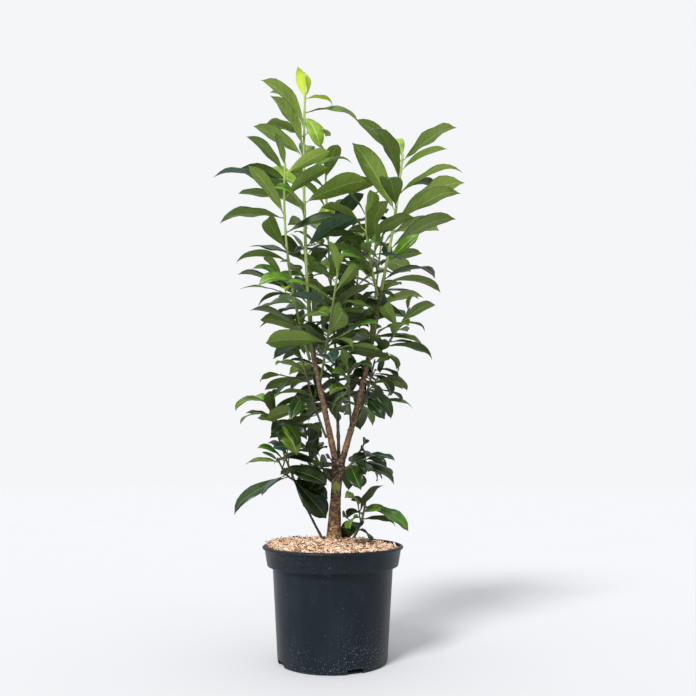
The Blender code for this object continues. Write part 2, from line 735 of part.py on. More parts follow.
def make_mass(name, stem, twigs, leaves):
    """The object of a mass: its stem with twigs and leaves joined on by one union."""
    thing = add_object(name, sweep(stem.rings()), "leaf")
    others = []
    for twig in twigs:
        others.append(add_object(name + "_twig", sweep(twig.rings())))
    for leaf in leaves:
        others.append(add_object(name + "_leaf", leaf.body()))
    combine(thing, others, "UNION")
    keep_main_body(thing)
    return thing


def turned(profile):
    """A body turned about the Z axis from a profile that starts and ends on the axis."""
    bm = bmesh.new()
    verts = [bm.verts.new((radius, 0.0, height)) for radius, height in profile]
    edges = [bm.edges.new(pair) for pair in zip(verts, verts[1:])]
    bmesh.ops.spin(bm, geom=verts + edges, cent=(0.0, 0.0, 0.0), axis=(0.0, 0.0, 1.0),
                   angle=math.tau, steps=POT_SIDES, use_merge=True, use_duplicate=False)
    bmesh.ops.remove_doubles(bm, verts=bm.verts, dist=1e-6)
    return bm


def inner_wall():
    """Radius and height of each corner of the pot's inner wall, from floor to rim."""
    ledge = BAND_FOOT + POT_WALL
    return [(BASE_RADIUS - POT_WALL, POT_FLOOR),
            (NECK_RADIUS - POT_WALL, ledge),
            (BAND_FOOT_RADIUS - POT_WALL, ledge + 0.5 * BAND_ROUND),
            (BAND_TOP_RADIUS - POT_WALL, LIP_FOOT + LIP_ROUND)]


def make_pot():
    """The pot: tapered wall, stepped band, rolled lip, and notches at its foot."""
    rim = POT_HEIGHT
    outer = [(0.0, 0.0), (BASE_RADIUS - BASE_ROUND, 0.0), (BASE_RADIUS, BASE_ROUND),
             (NECK_RADIUS, BAND_FOOT - BAND_ROUND), (BAND_FOOT_RADIUS - BAND_ROUND, BAND_FOOT),
             (BAND_FOOT_RADIUS, BAND_FOOT + BAND_ROUND), (BAND_TOP_RADIUS, LIP_FOOT),
             (LIP_RADIUS - 0.3 * LIP_ROUND, LIP_FOOT + 0.3 * LIP_ROUND),
             (LIP_RADIUS, LIP_FOOT + LIP_ROUND),
             (LIP_RADIUS - 0.3 * LIP_ROUND, rim - 0.5 * LIP_ROUND), (LIP_RADIUS - LIP_ROUND, rim),
             (BAND_TOP_RADIUS - POT_WALL + 0.5 * LIP_ROUND, rim)]
    inner = list(reversed(inner_wall()))
    pot = add_object("pot", turned(outer + inner + [(0.0, POT_FLOOR)]), "pot", smooth=True)
    cutters = []
    for number in range(NOTCHES):
        angle = NOTCH_FIRST + number * math.tau / NOTCHES
        bm = bmesh.new()
        bmesh.ops.create_cube(bm, size=1.0)
        bmesh.ops.scale(bm, vec=(NOTCH_DEPTH, NOTCH_WIDTH, 2.0 * NOTCH_HEIGHT), verts=bm.verts)
        bmesh.ops.translate(bm, vec=(BASE_RADIUS, 0.0, 0.0), verts=bm.verts)
        spin = Quaternion((0.0, 0.0, 1.0), angle).to_matrix()
        bmesh.ops.rotate(bm, cent=(0.0, 0.0, 0.0), matrix=spin, verts=bm.verts)
        cutters.append(add_object("pot_notch", bm))
    combine(pot, cutters, "DIFFERENCE")
    return pot


def make_compost():
    """The filling of the pot, with a lumpy top that rises to a flat pad round the stems."""
    wall = [(radius - SEAT, height + SEAT) for radius, height in inner_wall()]
    top_radius = wall[-1][0] - SEAT
    profile = [(0.0, wall[0][1])] + wall[:3] + [(top_radius, SOIL_EDGE_LEVEL)]
    for step in range(1, SOIL_RINGS):
        part = step / SOIL_RINGS
        level = SOIL_LEVEL + (SOIL_EDGE_LEVEL - SOIL_LEVEL) * (1.0 - part) ** SOIL_SLOPE
        profile.append((top_radius + (SOIL_PAD_RADIUS - top_radius) * part, level))
    profile += [(SOIL_PAD_RADIUS, SOIL_LEVEL), (0.0, SOIL_LEVEL)]
    bm = turned(profile)
    rng = random.Random(SOIL_SEED)
    for vert in sorted(bm.verts, key=lambda v: (round(v.co.x, 5), round(v.co.y, 5))):
        distance = math.hypot(vert.co.x, vert.co.y)
        if vert.co.z < SOIL_EDGE_LEVEL - SEAT or distance < SOIL_PAD_RADIUS + SEAT:
            continue
        outwards = (distance - SOIL_PAD_RADIUS) / (top_radius - SOIL_PAD_RADIUS)
        towards_heap = math.cos(math.atan2(vert.co.y, vert.co.x) - HEAP_ANGLE)
        vert.co.z += HEAP_RISE * outwards * max(0.0, towards_heap) ** 2
        if distance < top_radius - SEAT:
            vert.co.z += rng.uniform(-SOIL_LUMP, SOIL_LUMP)
    return add_object("chip_mulch", bm, "compost")


def main():
    """Builds every solid of the potted plant."""
    clear_scene()
    make_pot()
    make_compost()
    limbs, masses = grow_plant()
    for name, limb in limbs.items():
        make_limb(name, limb)
    for name, (stem, twigs, leaves) in masses.items():
        make_mass(name, stem, twigs, leaves)


if __name__ == "__main__":
    main()
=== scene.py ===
"""Looks of a young cherry laurel in a black nursery pot with a mulch of bark chips.

Metres, +Z up, -Y to the front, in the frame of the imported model. The plant grows here by the same
seeded rule as the solids that it replaces, with true leaves, petioles, buds and bark.
"""

import logging
import math
import random
from dataclasses import dataclass
from enum import Enum

import bmesh
import bpy
from bmesh.types import BMesh, BMFace, BMLayerItem, BMVert
from bpy.types import Material, Mesh, Node, NodeSocket, Object
from mathutils import Matrix, Quaternion, Vector, noise
from mathutils.bvhtree import BVHTree


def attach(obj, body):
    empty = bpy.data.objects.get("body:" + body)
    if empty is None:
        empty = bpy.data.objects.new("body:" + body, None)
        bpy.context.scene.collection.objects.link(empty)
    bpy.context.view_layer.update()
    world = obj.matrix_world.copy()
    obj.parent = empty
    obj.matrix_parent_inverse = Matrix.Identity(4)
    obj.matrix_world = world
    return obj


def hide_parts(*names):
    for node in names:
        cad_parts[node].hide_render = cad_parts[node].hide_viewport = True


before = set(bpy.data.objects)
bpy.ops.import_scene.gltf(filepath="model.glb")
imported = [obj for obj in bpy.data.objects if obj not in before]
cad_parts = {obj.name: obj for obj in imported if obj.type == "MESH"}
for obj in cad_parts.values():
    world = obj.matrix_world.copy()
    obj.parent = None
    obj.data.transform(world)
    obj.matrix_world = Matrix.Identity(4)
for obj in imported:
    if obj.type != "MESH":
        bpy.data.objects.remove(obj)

log = logging.getLogger("laurel")

UP = Vector((0.0, 0.0, 1.0))

# Clearance between two solids of the frame that touch on the real plant
SEAT = 0.0003

# Corners of a turned body that lie closer than this become one
MERGE_DISTANCE = 1e-6

# Places on the potted plant that several pieces share
SOIL_LEVEL = 0.228
SOIL_EDGE_LEVEL = 0.2145
LIP_RADIUS = 0.140
LIP_CLEARANCE = 0.01
TRUNK_FOOT = Vector((0.002, 0.0, SOIL_LEVEL + SEAT))
TRUNK_FORK = Vector((0.011, 0.0, 0.386))
TRUNK_BOW = Vector((-0.0015, 0.0, 0.0))
TRUNK_PROFILE = ((0.0, 0.0180), (0.05, 0.0156), (0.14, 0.0140), (0.27, 0.0129), (0.42, 0.0113),
                 (0.62, 0.0103), (0.80, 0.0110), (0.93, 0.0138), (1.0, 0.0140))
SOIL_SHOOT_FOOT = Vector((0.036, -0.012, SOIL_LEVEL + SEAT))


# The rule by which the plant grows, as in the solids

PLANT_SEED = 9
TRUNK_SIDES = 12
BOUGH_SIDES = 8
BOUGH_JOINTS = 7
STEM_SIDES = 5
LEAST_STEM_JOINTS = 3
STEM_STRETCH = 0.075
LEAST_ARCH = 0.02
DIVERGENCE = math.radians(144.0)
LAST_LEAF = 0.995
LEAF_CROWDING = 0.92
TURN_JITTER = math.radians(26.0)
RISE_JITTER = math.radians(11.0)
ROLL_JITTER = math.radians(55.0)
LENGTH_VARIETY = (0.86, 1.12)
ARCH_VARIETY = (0.55, 1.35)
TRIES = 9
TRY_STEP = math.radians(31.0)
TRY_LIFT = 0.06
YOUNG_FROM = 0.84
YOUNG_SHORTER = 0.45
YOUNG_LIFT = math.radians(22.0)

LEAF_STATIONS = ((0.25, 0.70), (0.58, 1.0), (0.84, 0.64))
LEAF_SLIMNESS = 0.36
LEAF_THICKNESS = 0.012
LEAF_FOLD = math.radians(20.0)
PETIOLE_HALF = 0.0011
PETIOLE_PART = 0.10
LEAF_MARGIN = 0.0014

# The shaded front of the lowest limbs has shed its leaves up to this level, so that they show
BARE_LIMBS = ("trunk", "left_bough", "right_bough")
BARE_LEVEL = 0.585
BARE_HALF_WIDTH = 0.012
BARE_REACH = Vector((0.0, -0.2, 0.0))
BARE_STEPS = 12

TWIG_SIDES = 4
TWIG_JOINTS = 2
TWIG_RADII = (0.0021, 0.0017)
TWIG_VARIETY = (0.80, 1.15)
TWIG_LEAF_PLACES = (0.42, 0.72, 0.97)
TWIG_LEAF_ANGLE = math.radians(52.0)
TWIG_END_JITTER = 0.2
TWIG_CLEAR_PART = 0.2
TWIG_LIFT = 0.35
TWIG_SAG = 0.06
TWIG_DIVERGENCE = math.radians(137.0)
LAST_TWIG = 0.8

LOWEST_OVER_POT = SOIL_LEVEL + 0.004
LOWEST_BESIDE_POT = 0.16

# Added to a mass's seed for what only the looks draw by chance
BLADE_SEED = 5000
FINE_SEED = 9000

# Finer twigs with small leaves, which only the looks have, inside the crown
FINE_TWIGS = 12
FINE_PLACES = (0.05, 0.85)
FINE_RISE = (math.radians(-15.0), math.radians(50.0))
FINE_TWIG_LENGTH = (0.022, 0.055)
FINE_TWIG_RADII = (0.0014, 0.0010)
FINE_LEVELS = (0.26, 0.88)
FINE_REACH = 0.12
FINE_LEAF_PLACES = (0.40, 0.70, 1.0)
FINE_LEAF_LIFT = (math.radians(-45.0), math.radians(25.0))
FINE_LEAF = (0.050, 0.088)
FINE_ARCH = (math.radians(15.0), math.radians(50.0))


@dataclass(frozen=True)
class Bough:
    """One woody limb, from its foot on the fork or in the soil to where its mass begins."""

    name: str
    on: str
    foot: tuple[float, float]
    tip: tuple[float, float, float]
    bow: tuple[float, float, float]
    radius: tuple[float, float]


@dataclass(frozen=True)
class Mass:
    """One mass of foliage: its green stem, and the rule for its twigs and leaves."""

    name: str
    on: str
    at: float
    tip: tuple[float, float, float]
    bow: tuple[float, float, float]
    radius: tuple[float, float]
    leaves: int
    first: float
    leaf: tuple[float, float]
    rise: tuple[float, float]
    arch: tuple[float, float]
    twigs: int = 0
    twig_length: float = 0.07
    reach: tuple[tuple[float, tuple[float, float, float], float, float], ...] = ()

    @property
    def seed(self) -> int:
        """Returns the seed of the whole plant, moved on by the mass's place in the table."""
        return PLANT_SEED + MASSES.index(self)


BOUGHS = (
    Bough("left_bough", "trunk", (0.0042, 0.0), (-0.043, -0.020, 0.607), (0.0, 0.0, 0.0),
          (0.0068, 0.0048)),
    Bough("right_bough", "trunk", (0.0184, -0.001), (0.099, -0.010, 0.735), (0.006, 0.0, 0.0),
          (0.0068, 0.0042)),
    Bough("back_bough", "trunk", (0.0115, 0.0095), (0.004, 0.050, 0.610), (0.0, 0.006, 0.0),
          (0.0038, 0.0030)),
    Bough("low_left_stem", "soil", (-0.0186, -0.008), (-0.114, -0.030, 0.448), (-0.007, 0.0, 0.0),
          (0.0026, 0.0020)),
)

MASSES = (
    Mass("left_leader", on="left_bough", at=1.0, tip=(-0.063, -0.010, 1.165),
         bow=(-0.008, -0.003, 0.0), radius=(0.0040, 0.0020), leaves=17, first=0.08,
         leaf=(0.142, 0.125), rise=(15, 60), arch=(40, 50),
         reach=((0.99, (-0.015, -0.005, 0.070), 10, 80), (0.99, (0.065, -0.010, -0.015), 45, 0),
                (0.93, (0.120, -0.020, -0.020), 45, -30), (0.91, (0.040, -0.030, -0.080), 75, -60),
                (0.86, (-0.090, -0.035, 0.100), 60, 10), (0.83, (-0.085, 0.040, 0.050), 20, 20),
                (0.75, (-0.110, 0.020, 0.085), 20, 30), (0.53, (-0.130, -0.030, 0.100), 25, 35))),
    Mass("left_outer", on="left_bough", at=0.93, tip=(-0.100, -0.060, 0.985),
         bow=(-0.018, 0.0, 0.0), radius=(0.0032, 0.0018), leaves=10, first=0.18,
         leaf=(0.135, 0.135), rise=(10, 50), arch=(35, 35),
         reach=((0.97, (-0.070, -0.030, 0.075), 20, 20), (0.96, (0.095, -0.035, 0.040), 20, 40),
                (0.95, (-0.130, 0.015, 0.065), 20, 0), (0.93, (-0.145, -0.020, 0.010), 15, 0),
                (0.83, (-0.100, 0.030, 0.025), 15, 20), (0.73, (-0.135, -0.020, -0.010), 40, 15),
                (0.57, (-0.130, 0.020, 0.070), 25, 10), (0.51, (-0.105, -0.030, -0.005), 40, 15),
                (0.35, (-0.115, 0.020, 0.050), 25, 0), (0.17, (-0.100, -0.020, 0.040), 20, 15))),
    Mass("right_leader", on="right_bough", at=1.0, tip=(0.147, 0.0, 1.030),
         bow=(0.004, 0.0, 0.0), radius=(0.0034, 0.0020), leaves=10, first=0.08,
         leaf=(0.138, 0.138), rise=(15, 50), arch=(35, 35),
         reach=((0.97, (0.115, 0.010, 0.090), 20, 20), (0.96, (-0.100, -0.010, 0.095), 40, 20),
                (0.72, (0.135, -0.015, 0.060), 25, 0), (0.50, (0.150, 0.060, 0.125), 20, 20),
                (0.58, (-0.085, -0.040, 0.145), 25, 40), (0.50, (0.135, -0.020, 0.070), 20, 10),
                (0.30, (0.140, 0.020, 0.080), 30, 15), (0.20, (0.065, -0.035, 0.055), 15, -60),
                (0.05, (0.125, 0.015, -0.010), 50, 0))),
    Mass("centre_leader", on="back_bough", at=1.0, tip=(-0.021, 0.055, 1.050),
         bow=(-0.003, 0.004, 0.0), radius=(0.0028, 0.0016), leaves=18, first=0.06,
         leaf=(0.125, 0.110), rise=(15, 55), arch=(35, 40),
         reach=((0.77, (0.005, -0.060, -0.100), 55, -60),)),
    Mass("right_inner", on="right_bough", at=0.97, tip=(0.067, -0.055, 0.895),
         bow=(-0.007, -0.006, 0.0), radius=(0.0028, 0.0018), leaves=12, first=0.20,
         leaf=(0.125, 0.105), rise=(15, 55), arch=(30, 35)),
    Mass("right_outer", on="right_bough", at=0.60, tip=(0.158, 0.030, 0.700),
         bow=(0.0, 0.0, -0.012), radius=(0.0026, 0.0017), leaves=9, first=0.25,
         leaf=(0.110, 0.090), rise=(5, 40), arch=(35, 45),
         reach=((0.80, (0.055, 0.010, -0.010), 50, 0), (0.60, (0.055, -0.020, -0.020), 50, -20))),
    Mass("middle_shoot", on="back_bough", at=0.80, tip=(0.052, 0.030, 0.800),
         bow=(0.008, 0.0, 0.0), radius=(0.0026, 0.0016), leaves=13, first=0.20,
         leaf=(0.125, 0.095), rise=(10, 50), arch=(35, 40)),
    Mass("front_shoot", on="left_bough", at=0.72, tip=(0.012, -0.120, 0.760),
         bow=(0.0, -0.012, -0.010), radius=(0.0026, 0.0017), leaves=12, first=0.22,
         leaf=(0.125, 0.095), rise=(10, 45), arch=(35, 40)),
    Mass("back_left_shoot", on="left_bough", at=0.82, tip=(-0.070, 0.130, 0.860),
         bow=(0.0, 0.020, -0.010), radius=(0.0028, 0.0017), leaves=17, first=0.20,
         leaf=(0.130, 0.100), rise=(10, 45), arch=(35, 40)),
    Mass("back_right_shoot", on="right_bough", at=0.55, tip=(0.105, 0.135, 0.870),
         bow=(0.0, 0.020, -0.010), radius=(0.0028, 0.0017), leaves=18, first=0.20,
         leaf=(0.130, 0.100), rise=(10, 45), arch=(35, 40)),
    Mass("left_spur", on="left_bough", at=0.22, tip=(-0.063, -0.022, 0.588),
         bow=(0.0, 0.0, -0.010), radius=(0.0024, 0.0016), leaves=10, first=0.25,
         leaf=(0.105, 0.090), rise=(-15, 15), arch=(40, 45), twigs=2,
         reach=((0.50, (-0.080, -0.020, -0.050), 35, -25),)),
    Mass("right_spur", on="right_bough", at=0.25, tip=(0.084, 0.006, 0.585),
         bow=(0.0, 0.0, -0.010), radius=(0.0024, 0.0016), leaves=10, first=0.25,
         leaf=(0.105, 0.090), rise=(-15, 15), arch=(40, 45), twigs=2,
         reach=((0.83, (0.045, -0.010, -0.045), 90, -30), (0.60, (0.050, -0.020, -0.060), 85, -30))),
    Mass("front_spur", on="right_bough", at=0.20, tip=(0.030, -0.085, 0.560),
         bow=(0.0, 0.0, -0.010), radius=(0.0024, 0.0016), leaves=10, first=0.25,
         leaf=(0.105, 0.090), rise=(-10, 25), arch=(40, 45), twigs=2),
    Mass("back_spur", on="back_bough", at=0.45, tip=(0.010, 0.115, 0.590),
         bow=(0.0, 0.0, -0.012), radius=(0.0024, 0.0016), leaves=14, first=0.25,
         leaf=(0.120, 0.095), rise=(-10, 25), arch=(40, 45), twigs=2),
    Mass("trunk_left_twig", on="trunk", at=0.78, tip=(-0.035, -0.012, 0.395),
         bow=(0.0, 0.0, -0.006), radius=(0.0022, 0.0016), leaves=5, first=0.15,
         leaf=(0.090, 0.080), rise=(-20, 15), arch=(30, 40),
         reach=((0.60, (-0.065, -0.030, 0.020), 20, -30),)),
    Mass("trunk_right_twig", on="trunk", at=0.88, tip=(0.060, -0.020, 0.415),
         bow=(0.0, 0.0, -0.006), radius=(0.0022, 0.0016), leaves=6, first=0.15,
         leaf=(0.090, 0.080), rise=(-30, 15), arch=(30, 40),
         reach=((0.40, (0.090, -0.020, -0.035), 35, -30), (0.20, (0.075, 0.020, -0.020), 35, -20))),
    Mass("low_left_shoot", on="low_left_stem", at=1.0, tip=(-0.125, -0.035, 0.500),
         bow=(-0.004, 0.0, 0.0), radius=(0.0022, 0.0015), leaves=6, first=0.10,
         leaf=(0.090, 0.080), rise=(0, 45), arch=(50, 60),
         reach=((0.90, (-0.075, -0.010, -0.010), 100, -20), (0.88, (0.010, -0.020, 0.045), 20, 45),
                (0.50, (-0.055, 0.020, 0.010), 25, -30))),
    Mass("low_left_twigs", on="low_left_stem", at=0.55, tip=(-0.105, -0.060, 0.385),
         bow=(0.0, 0.0, -0.006), radius=(0.0020, 0.0015), leaves=4, first=0.10,
         leaf=(0.095, 0.085), rise=(-35, 5), arch=(20, 30),
         reach=((0.30, (-0.110, -0.030, -0.065), 35, -30), (0.95, (-0.070, 0.020, 0.0), 40, -30),
                (0.05, (0.070, -0.010, -0.075), 20, -60))),
    Mass("low_right_shoot", on="soil", at=0.0, tip=(0.064, -0.016, 0.300),
         bow=(0.004, 0.0, -0.004), radius=(0.0022, 0.0016), leaves=10, first=0.15,
         leaf=(0.070, 0.070), rise=(-20, 20), arch=(30, 40),
         reach=((0.93, (0.090, -0.020, -0.040), 40, -30), (0.60, (-0.045, -0.010, 0.015), 30, -50))),
)


# Small helpers for meshes

def mix(ends: tuple[float, float], part: float) -> float:
    """Returns a value between the two ends of a range."""
    return ends[0] + (ends[1] - ends[0]) * part


def clamp(value: float, low: float = 0.0, high: float = 1.0) -> float:
    """Keeps a value between two limits."""
    return max(low, min(high, value))


def arc_point(foot: Vector, tip: Vector, bow: Vector, part: float) -> Vector:
    """Returns a point on the curve from foot to tip that swings out by bow half way."""
    return foot.lerp(tip, part) + bow * (4.0 * part * (1.0 - part))


def arc_way(foot: Vector, tip: Vector, bow: Vector, part: float) -> Vector:
    """Returns the direction of that curve."""
    return (tip - foot + bow * (4.0 - 8.0 * part)).normalized()


def ring(centre: Vector, way: Vector, radius: float, sides: int, turn: float = 0.0) -> list[Vector]:
    """Works out a regular section across a limb.

    Args:
        centre: The middle of the section.
        way: The direction that the limb runs in there.
        radius: The radius of the section.
        sides: How many corners it has.
        turn: How far the first corner is turned about the limb.

    Returns:
        The corners, in order.
    """
    spin = UP.rotation_difference(way)
    points = []
    for corner in range(sides):
        angle = turn + math.tau * corner / sides
        flat = Vector((math.cos(angle) * radius, math.sin(angle) * radius, 0.0))
        points.append(centre + spin @ flat)
    return points


def sweep(bm: BMesh, rings: list[list[Vector]], tip: Vector | None = None) -> list:
    """Extrudes a cap through a row of rings, and draws the last one to a tip where given.

    Args:
        bm: The mesh that the swept body is added to.
        rings: The sections, each with the same number of corners.
        tip: A point for the end, or nothing for a flat end.

    Returns:
        The corners of every section in order, with the tip last where there is one.
    """
    corners = [bm.verts.new(point) for point in rings[0]]
    face = bm.faces.new(corners)
    first = face
    for section in rings[1:]:
        grown = bmesh.ops.extrude_face_region(bm, geom=[face])
        if face is not first:
            bmesh.ops.delete(bm, geom=[face], context="FACES_ONLY")
        face = [item for item in grown["geom"] if isinstance(item, BMFace)][0]
        for vert, point in zip(face.verts, section):
            vert.co = point
        corners.extend(face.verts)
    if tip is not None:
        grown = bmesh.ops.poke(bm, faces=[face])
        grown["verts"][0].co = tip
        corners.append(grown["verts"][0])
    bmesh.ops.recalc_face_normals(bm, faces=faces_at(corners))
    return corners


def faces_at(verts: list[BMVert]) -> list[BMFace]:
    """Returns every face at some points, each one once and in a fixed order."""
    return list(dict.fromkeys(face for vert in verts for face in vert.link_faces))


def finish_faces(verts: list[BMVert], finish: int = 0) -> None:
    """Shades the faces at some points smooth and gives them a finish by its number."""
    for face in faces_at(verts):
        face.smooth = True
        face.material_index = finish


def box_of(bm: BMesh) -> tuple[tuple[float, ...], tuple[float, ...]]:
    """Returns the lowest and highest corners of a bmesh."""
    corners = [vert.co for vert in bm.verts]
    low = tuple(min(corner[axis] for corner in corners) for axis in range(3))
    high = tuple(max(corner[axis] for corner in corners) for axis in range(3))
    return low, high


def boxes_meet(first: tuple, second: tuple) -> bool:
    """Says whether two boxes touch."""
    return all(first[0][axis] <= second[1][axis] and second[0][axis] <= first[1][axis]
               for axis in range(3))


def body_of_rings(rings: list[list[Vector]], tip: Vector | None = None) -> BMesh:
    """Returns a new bmesh of one swept body."""
    bm = bmesh.new()
    sweep(bm, rings, tip)
    return bm


def turn_profile(bm: BMesh, profile: list[tuple[float, float]], steps: int) -> None:
    """Turns a profile of radius and height pairs once about the upright axis."""
    verts = [bm.verts.new((radius, 0.0, height)) for radius, height in profile]
    edges = [bm.edges.new(pair) for pair in zip(verts, verts[1:])]
    bmesh.ops.spin(bm, geom=verts + edges, cent=(0.0, 0.0, 0.0), axis=UP, angle=math.tau,
                   steps=steps, use_merge=True, use_duplicate=False)
    bmesh.ops.remove_doubles(bm, verts=bm.verts, dist=MERGE_DISTANCE)
    bmesh.ops.recalc_face_normals(bm, faces=bm.faces)


def link_object(name: str, data: bpy.types.ID) -> Object:
    """Returns a new object of some data, linked to the scene."""
    thing = bpy.data.objects.new(name, data)
    bpy.context.scene.collection.objects.link(thing)
    return thing


def object_of(name: str, bm: BMesh) -> Object:
    """Returns a new object of a bmesh, which is freed."""
    mesh = bpy.data.meshes.new(name)
    bm.to_mesh(mesh)
    bm.free()
    return link_object(name, mesh)


def remove_object(thing: Object) -> None:
    """Removes a helper object with its mesh."""
    mesh = thing.data
    bpy.data.objects.remove(thing, do_unlink=True)
    bpy.data.meshes.remove(mesh)


def add_piece(name: str, bm: BMesh, materials: list[Material],
              nodes: tuple[str, ...] = ()) -> Object:
    """Turns a bmesh into a piece of the plant that rides with its pot.

    Args:
        name: The name of the piece.
        bm: Its mesh, in place, which is freed.
        materials: The finishes that its faces refer to, in order.
        nodes: The nodes of the frame that it stands for.

    Returns:
        The new object.
    """
    piece = object_of(name, bm)
    for material in materials:
        piece.data.materials.append(material)
    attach(piece, "root")
    if nodes:
        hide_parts(*nodes)
    log.info("%s: %d faces", name, len(piece.data.polygons))
    return piece


def evaluated_mesh(thing: Object) -> Mesh:
    """Returns a copy of an object's mesh with its modifiers applied."""
    graph = bpy.context.evaluated_depsgraph_get()
    return bpy.data.meshes.new_from_object(thing.evaluated_get(graph))


# Finishes

def linear(code: str) -> tuple[float, float, float, float]:
    """Turns an sRGB hex value such as #4a6b25 into linear colour with full alpha."""
    parts = [int(code[start:start + 2], 16) / 255.0 for start in (1, 3, 5)]
    bent = [part / 12.92 if part <= 0.04045 else ((part + 0.055) / 1.055) ** 2.4 for part in parts]
    return (bent[0], bent[1], bent[2], 1.0)


def set_inputs(node: Node, inputs: dict) -> None:
    """Gives the inputs of a node their values or links.

    Args:
        node: The node.
        inputs: A number, a hex colour, an output socket, or a node that stands for the output
            that it has in use, for each input by name or place.
    """
    for name, value in inputs.items():
        if isinstance(value, str):
            value = linear(value)
        if isinstance(value, Node):
            value = next(socket for socket in value.outputs if socket.enabled)
        if isinstance(value, NodeSocket):
            node.id_data.links.new(value, node.inputs[name])
        else:
            node.inputs[name].default_value = value


def add_node(material: bpy.types.ID, kind: str, inputs: dict | None = None,
             **settings: object) -> Node:
    """Adds a shader node with its settings and links.

    Args:
        material: The material or world whose tree it joins.
        kind: The node's type name, without what all of them begin with.
        inputs: What its inputs take, as set_inputs reads it.
        settings: Properties of the node by name.

    Returns:
        The new node.
    """
    node = material.node_tree.nodes.new("ShaderNode" + kind)
    for name, value in settings.items():
        setattr(node, name, value)
    set_inputs(node, inputs or {})
    return node


def ends(side: str, limits: tuple[float, float]) -> dict[str, float]:
    """Returns the two inputs that hold one side, From or To, of a range."""
    return {side + " Min": limits[0], side + " Max": limits[1]}


def new_material(name: str) -> tuple[Material, Node, NodeSocket]:
    """Starts a material.

    Returns:
        The material, its Principled shader and the Object coordinates.
    """
    material = bpy.data.materials.new(name)
    material.use_nodes = True
    shader = material.node_tree.nodes["Principled BSDF"]
    place = add_node(material, "TexCoord").outputs["Object"]
    return material, shader, place


def slot_of(kind: Enum) -> int:
    """Returns the place of a kind among its like, which is also its material slot."""
    return list(type(kind)).index(kind)


# Inputs of a Mix node that mixes colours
MIX_A = 6
MIX_B = 7


@dataclass(frozen=True)
class PolypropyleneFinish:
    """Injection-moulded polypropylene: deep blue black, satin, with faint scuffs and dust."""

    colour: str = "#121c23"
    scuffed: str = "#1b262e"
    dust: str = "#8d9296"
    roughness: float = 0.34
    roughness_spread: tuple[float, float] = (-0.06, 0.12)
    gloss: float = 0.18
    scuff_width: float = 0.030
    scuff_stretch: float = 0.35
    scuff_range: tuple[float, float] = (0.45, 0.75)
    dust_grain: float = 0.0016
    dust_range: tuple[float, float] = (0.895, 0.925)
    dust_patches: float = 9.0
    dust_patchiness: float = 0.25
    foot_dust: float = 0.10
    foot_dust_height: float = 0.09
    skin_grain: float = 0.0009
    skin_depth: float = 0.0004

    def build(self) -> Material:
        """Builds the material."""
        material, shader, place = new_material("moulded_polypropylene")
        drawn = add_node(material, "Mapping", {"Vector": place, "Scale": (1.0, 1.0, self.scuff_stretch)})
        scuffs = add_node(material, "TexNoise",
                          {"Vector": drawn, "Scale": 1.0 / self.scuff_width, "Detail": 5.0})
        wear = add_node(material, "MapRange", {"Value": scuffs, **ends("From", self.scuff_range)})
        base = add_node(material, "Mix",
                        {0: wear, MIX_A: self.colour, MIX_B: self.scuffed}, data_type="RGBA")
        specks = add_node(material, "TexNoise",
                          {"Vector": place, "Scale": 1.0 / self.dust_grain, "Detail": 1.0})
        patches = add_node(material, "TexNoise",
                           {"Vector": place, "Scale": self.dust_patches, "Detail": 1.0})
        height = add_node(material, "SeparateXYZ", {0: place})
        low = add_node(material, "MapRange",
                       {"Value": height.outputs["Z"], "From Min": self.foot_dust_height,
                        "From Max": 0.0, "To Min": 0.0, "To Max": self.foot_dust})
        clump = add_node(material, "Math",
                         {0: patches, 1: self.dust_patchiness, 2: low}, operation="MULTIPLY_ADD")
        grains = add_node(material, "Math", {0: specks, 1: clump}, operation="ADD")
        dusty = add_node(material, "MapRange", {"Value": grains, **ends("From", self.dust_range)})
        colour = add_node(material, "Mix", {0: dusty, MIX_A: base, MIX_B: self.dust}, data_type="RGBA")
        gloss = add_node(material, "MapRange",
                         {"Value": scuffs, "To Min": self.roughness + self.roughness_spread[0],
                          "To Max": self.roughness + self.roughness_spread[1]})
        skin = add_node(material, "TexNoise",
                        {"Vector": place, "Scale": 1.0 / self.skin_grain, "Detail": 2.0})
        bump = add_node(material, "Bump",
                        {"Height": skin, "Strength": 0.08, "Distance": self.skin_depth})
        set_inputs(shader, {"Base Color": colour, "Roughness": gloss,
                            "Normal": bump, "IOR": 1.49, "Specular IOR Level": self.gloss})
        return material


@dataclass(frozen=True)
class ChipFinish:
    """Softwood bark chips, split and dry: matt, with darker grain along their fibres."""

    name: str
    colour: str
    grain: str
    roughness: float = 0.85
    fibre: float = 0.0035
    fibre_range: tuple[float, float] = (0.42, 0.66)
    fibre_depth: float = 0.0006

    def build(self) -> Material:
        """Builds the material."""
        material, shader, place = new_material(self.name)
        fibres = add_node(material, "TexNoise",
                          {"Vector": place, "Scale": 1.0 / self.fibre, "Detail": 3.0, "Roughness": 0.6})
        streaks = add_node(material, "MapRange", {"Value": fibres, **ends("From", self.fibre_range)})
        colour = add_node(material, "Mix",
                          {0: streaks, MIX_A: self.colour, MIX_B: self.grain}, data_type="RGBA")
        bump = add_node(material, "Bump",
                        {"Height": fibres, "Strength": 0.5, "Distance": self.fibre_depth})
        set_inputs(shader, {"Base Color": colour, "Normal": bump, "Roughness": self.roughness})
        return material


class Chip(Enum):
    """The kinds of chip and crumb on the mulch, in the order of their material slots."""

    TAN = ChipFinish("chip_tan", "#dfb896", "#bd9270")
    # Pale chips: partly paler wood, partly a painted highlight on the mulch
    PALE = ChipFinish("chip_pale", "#f8e6d2", "#e2c5a8")
    RUST = ChipFinish("chip_rust", "#b98b68", "#936848")
    # Dark chips: partly darker bark, partly painted shade among the chips
    DARK = ChipFinish("chip_dark", "#6b482e", "#4a3120")
    MOSS = ChipFinish("moss_crumb", "#26261c", "#171710")
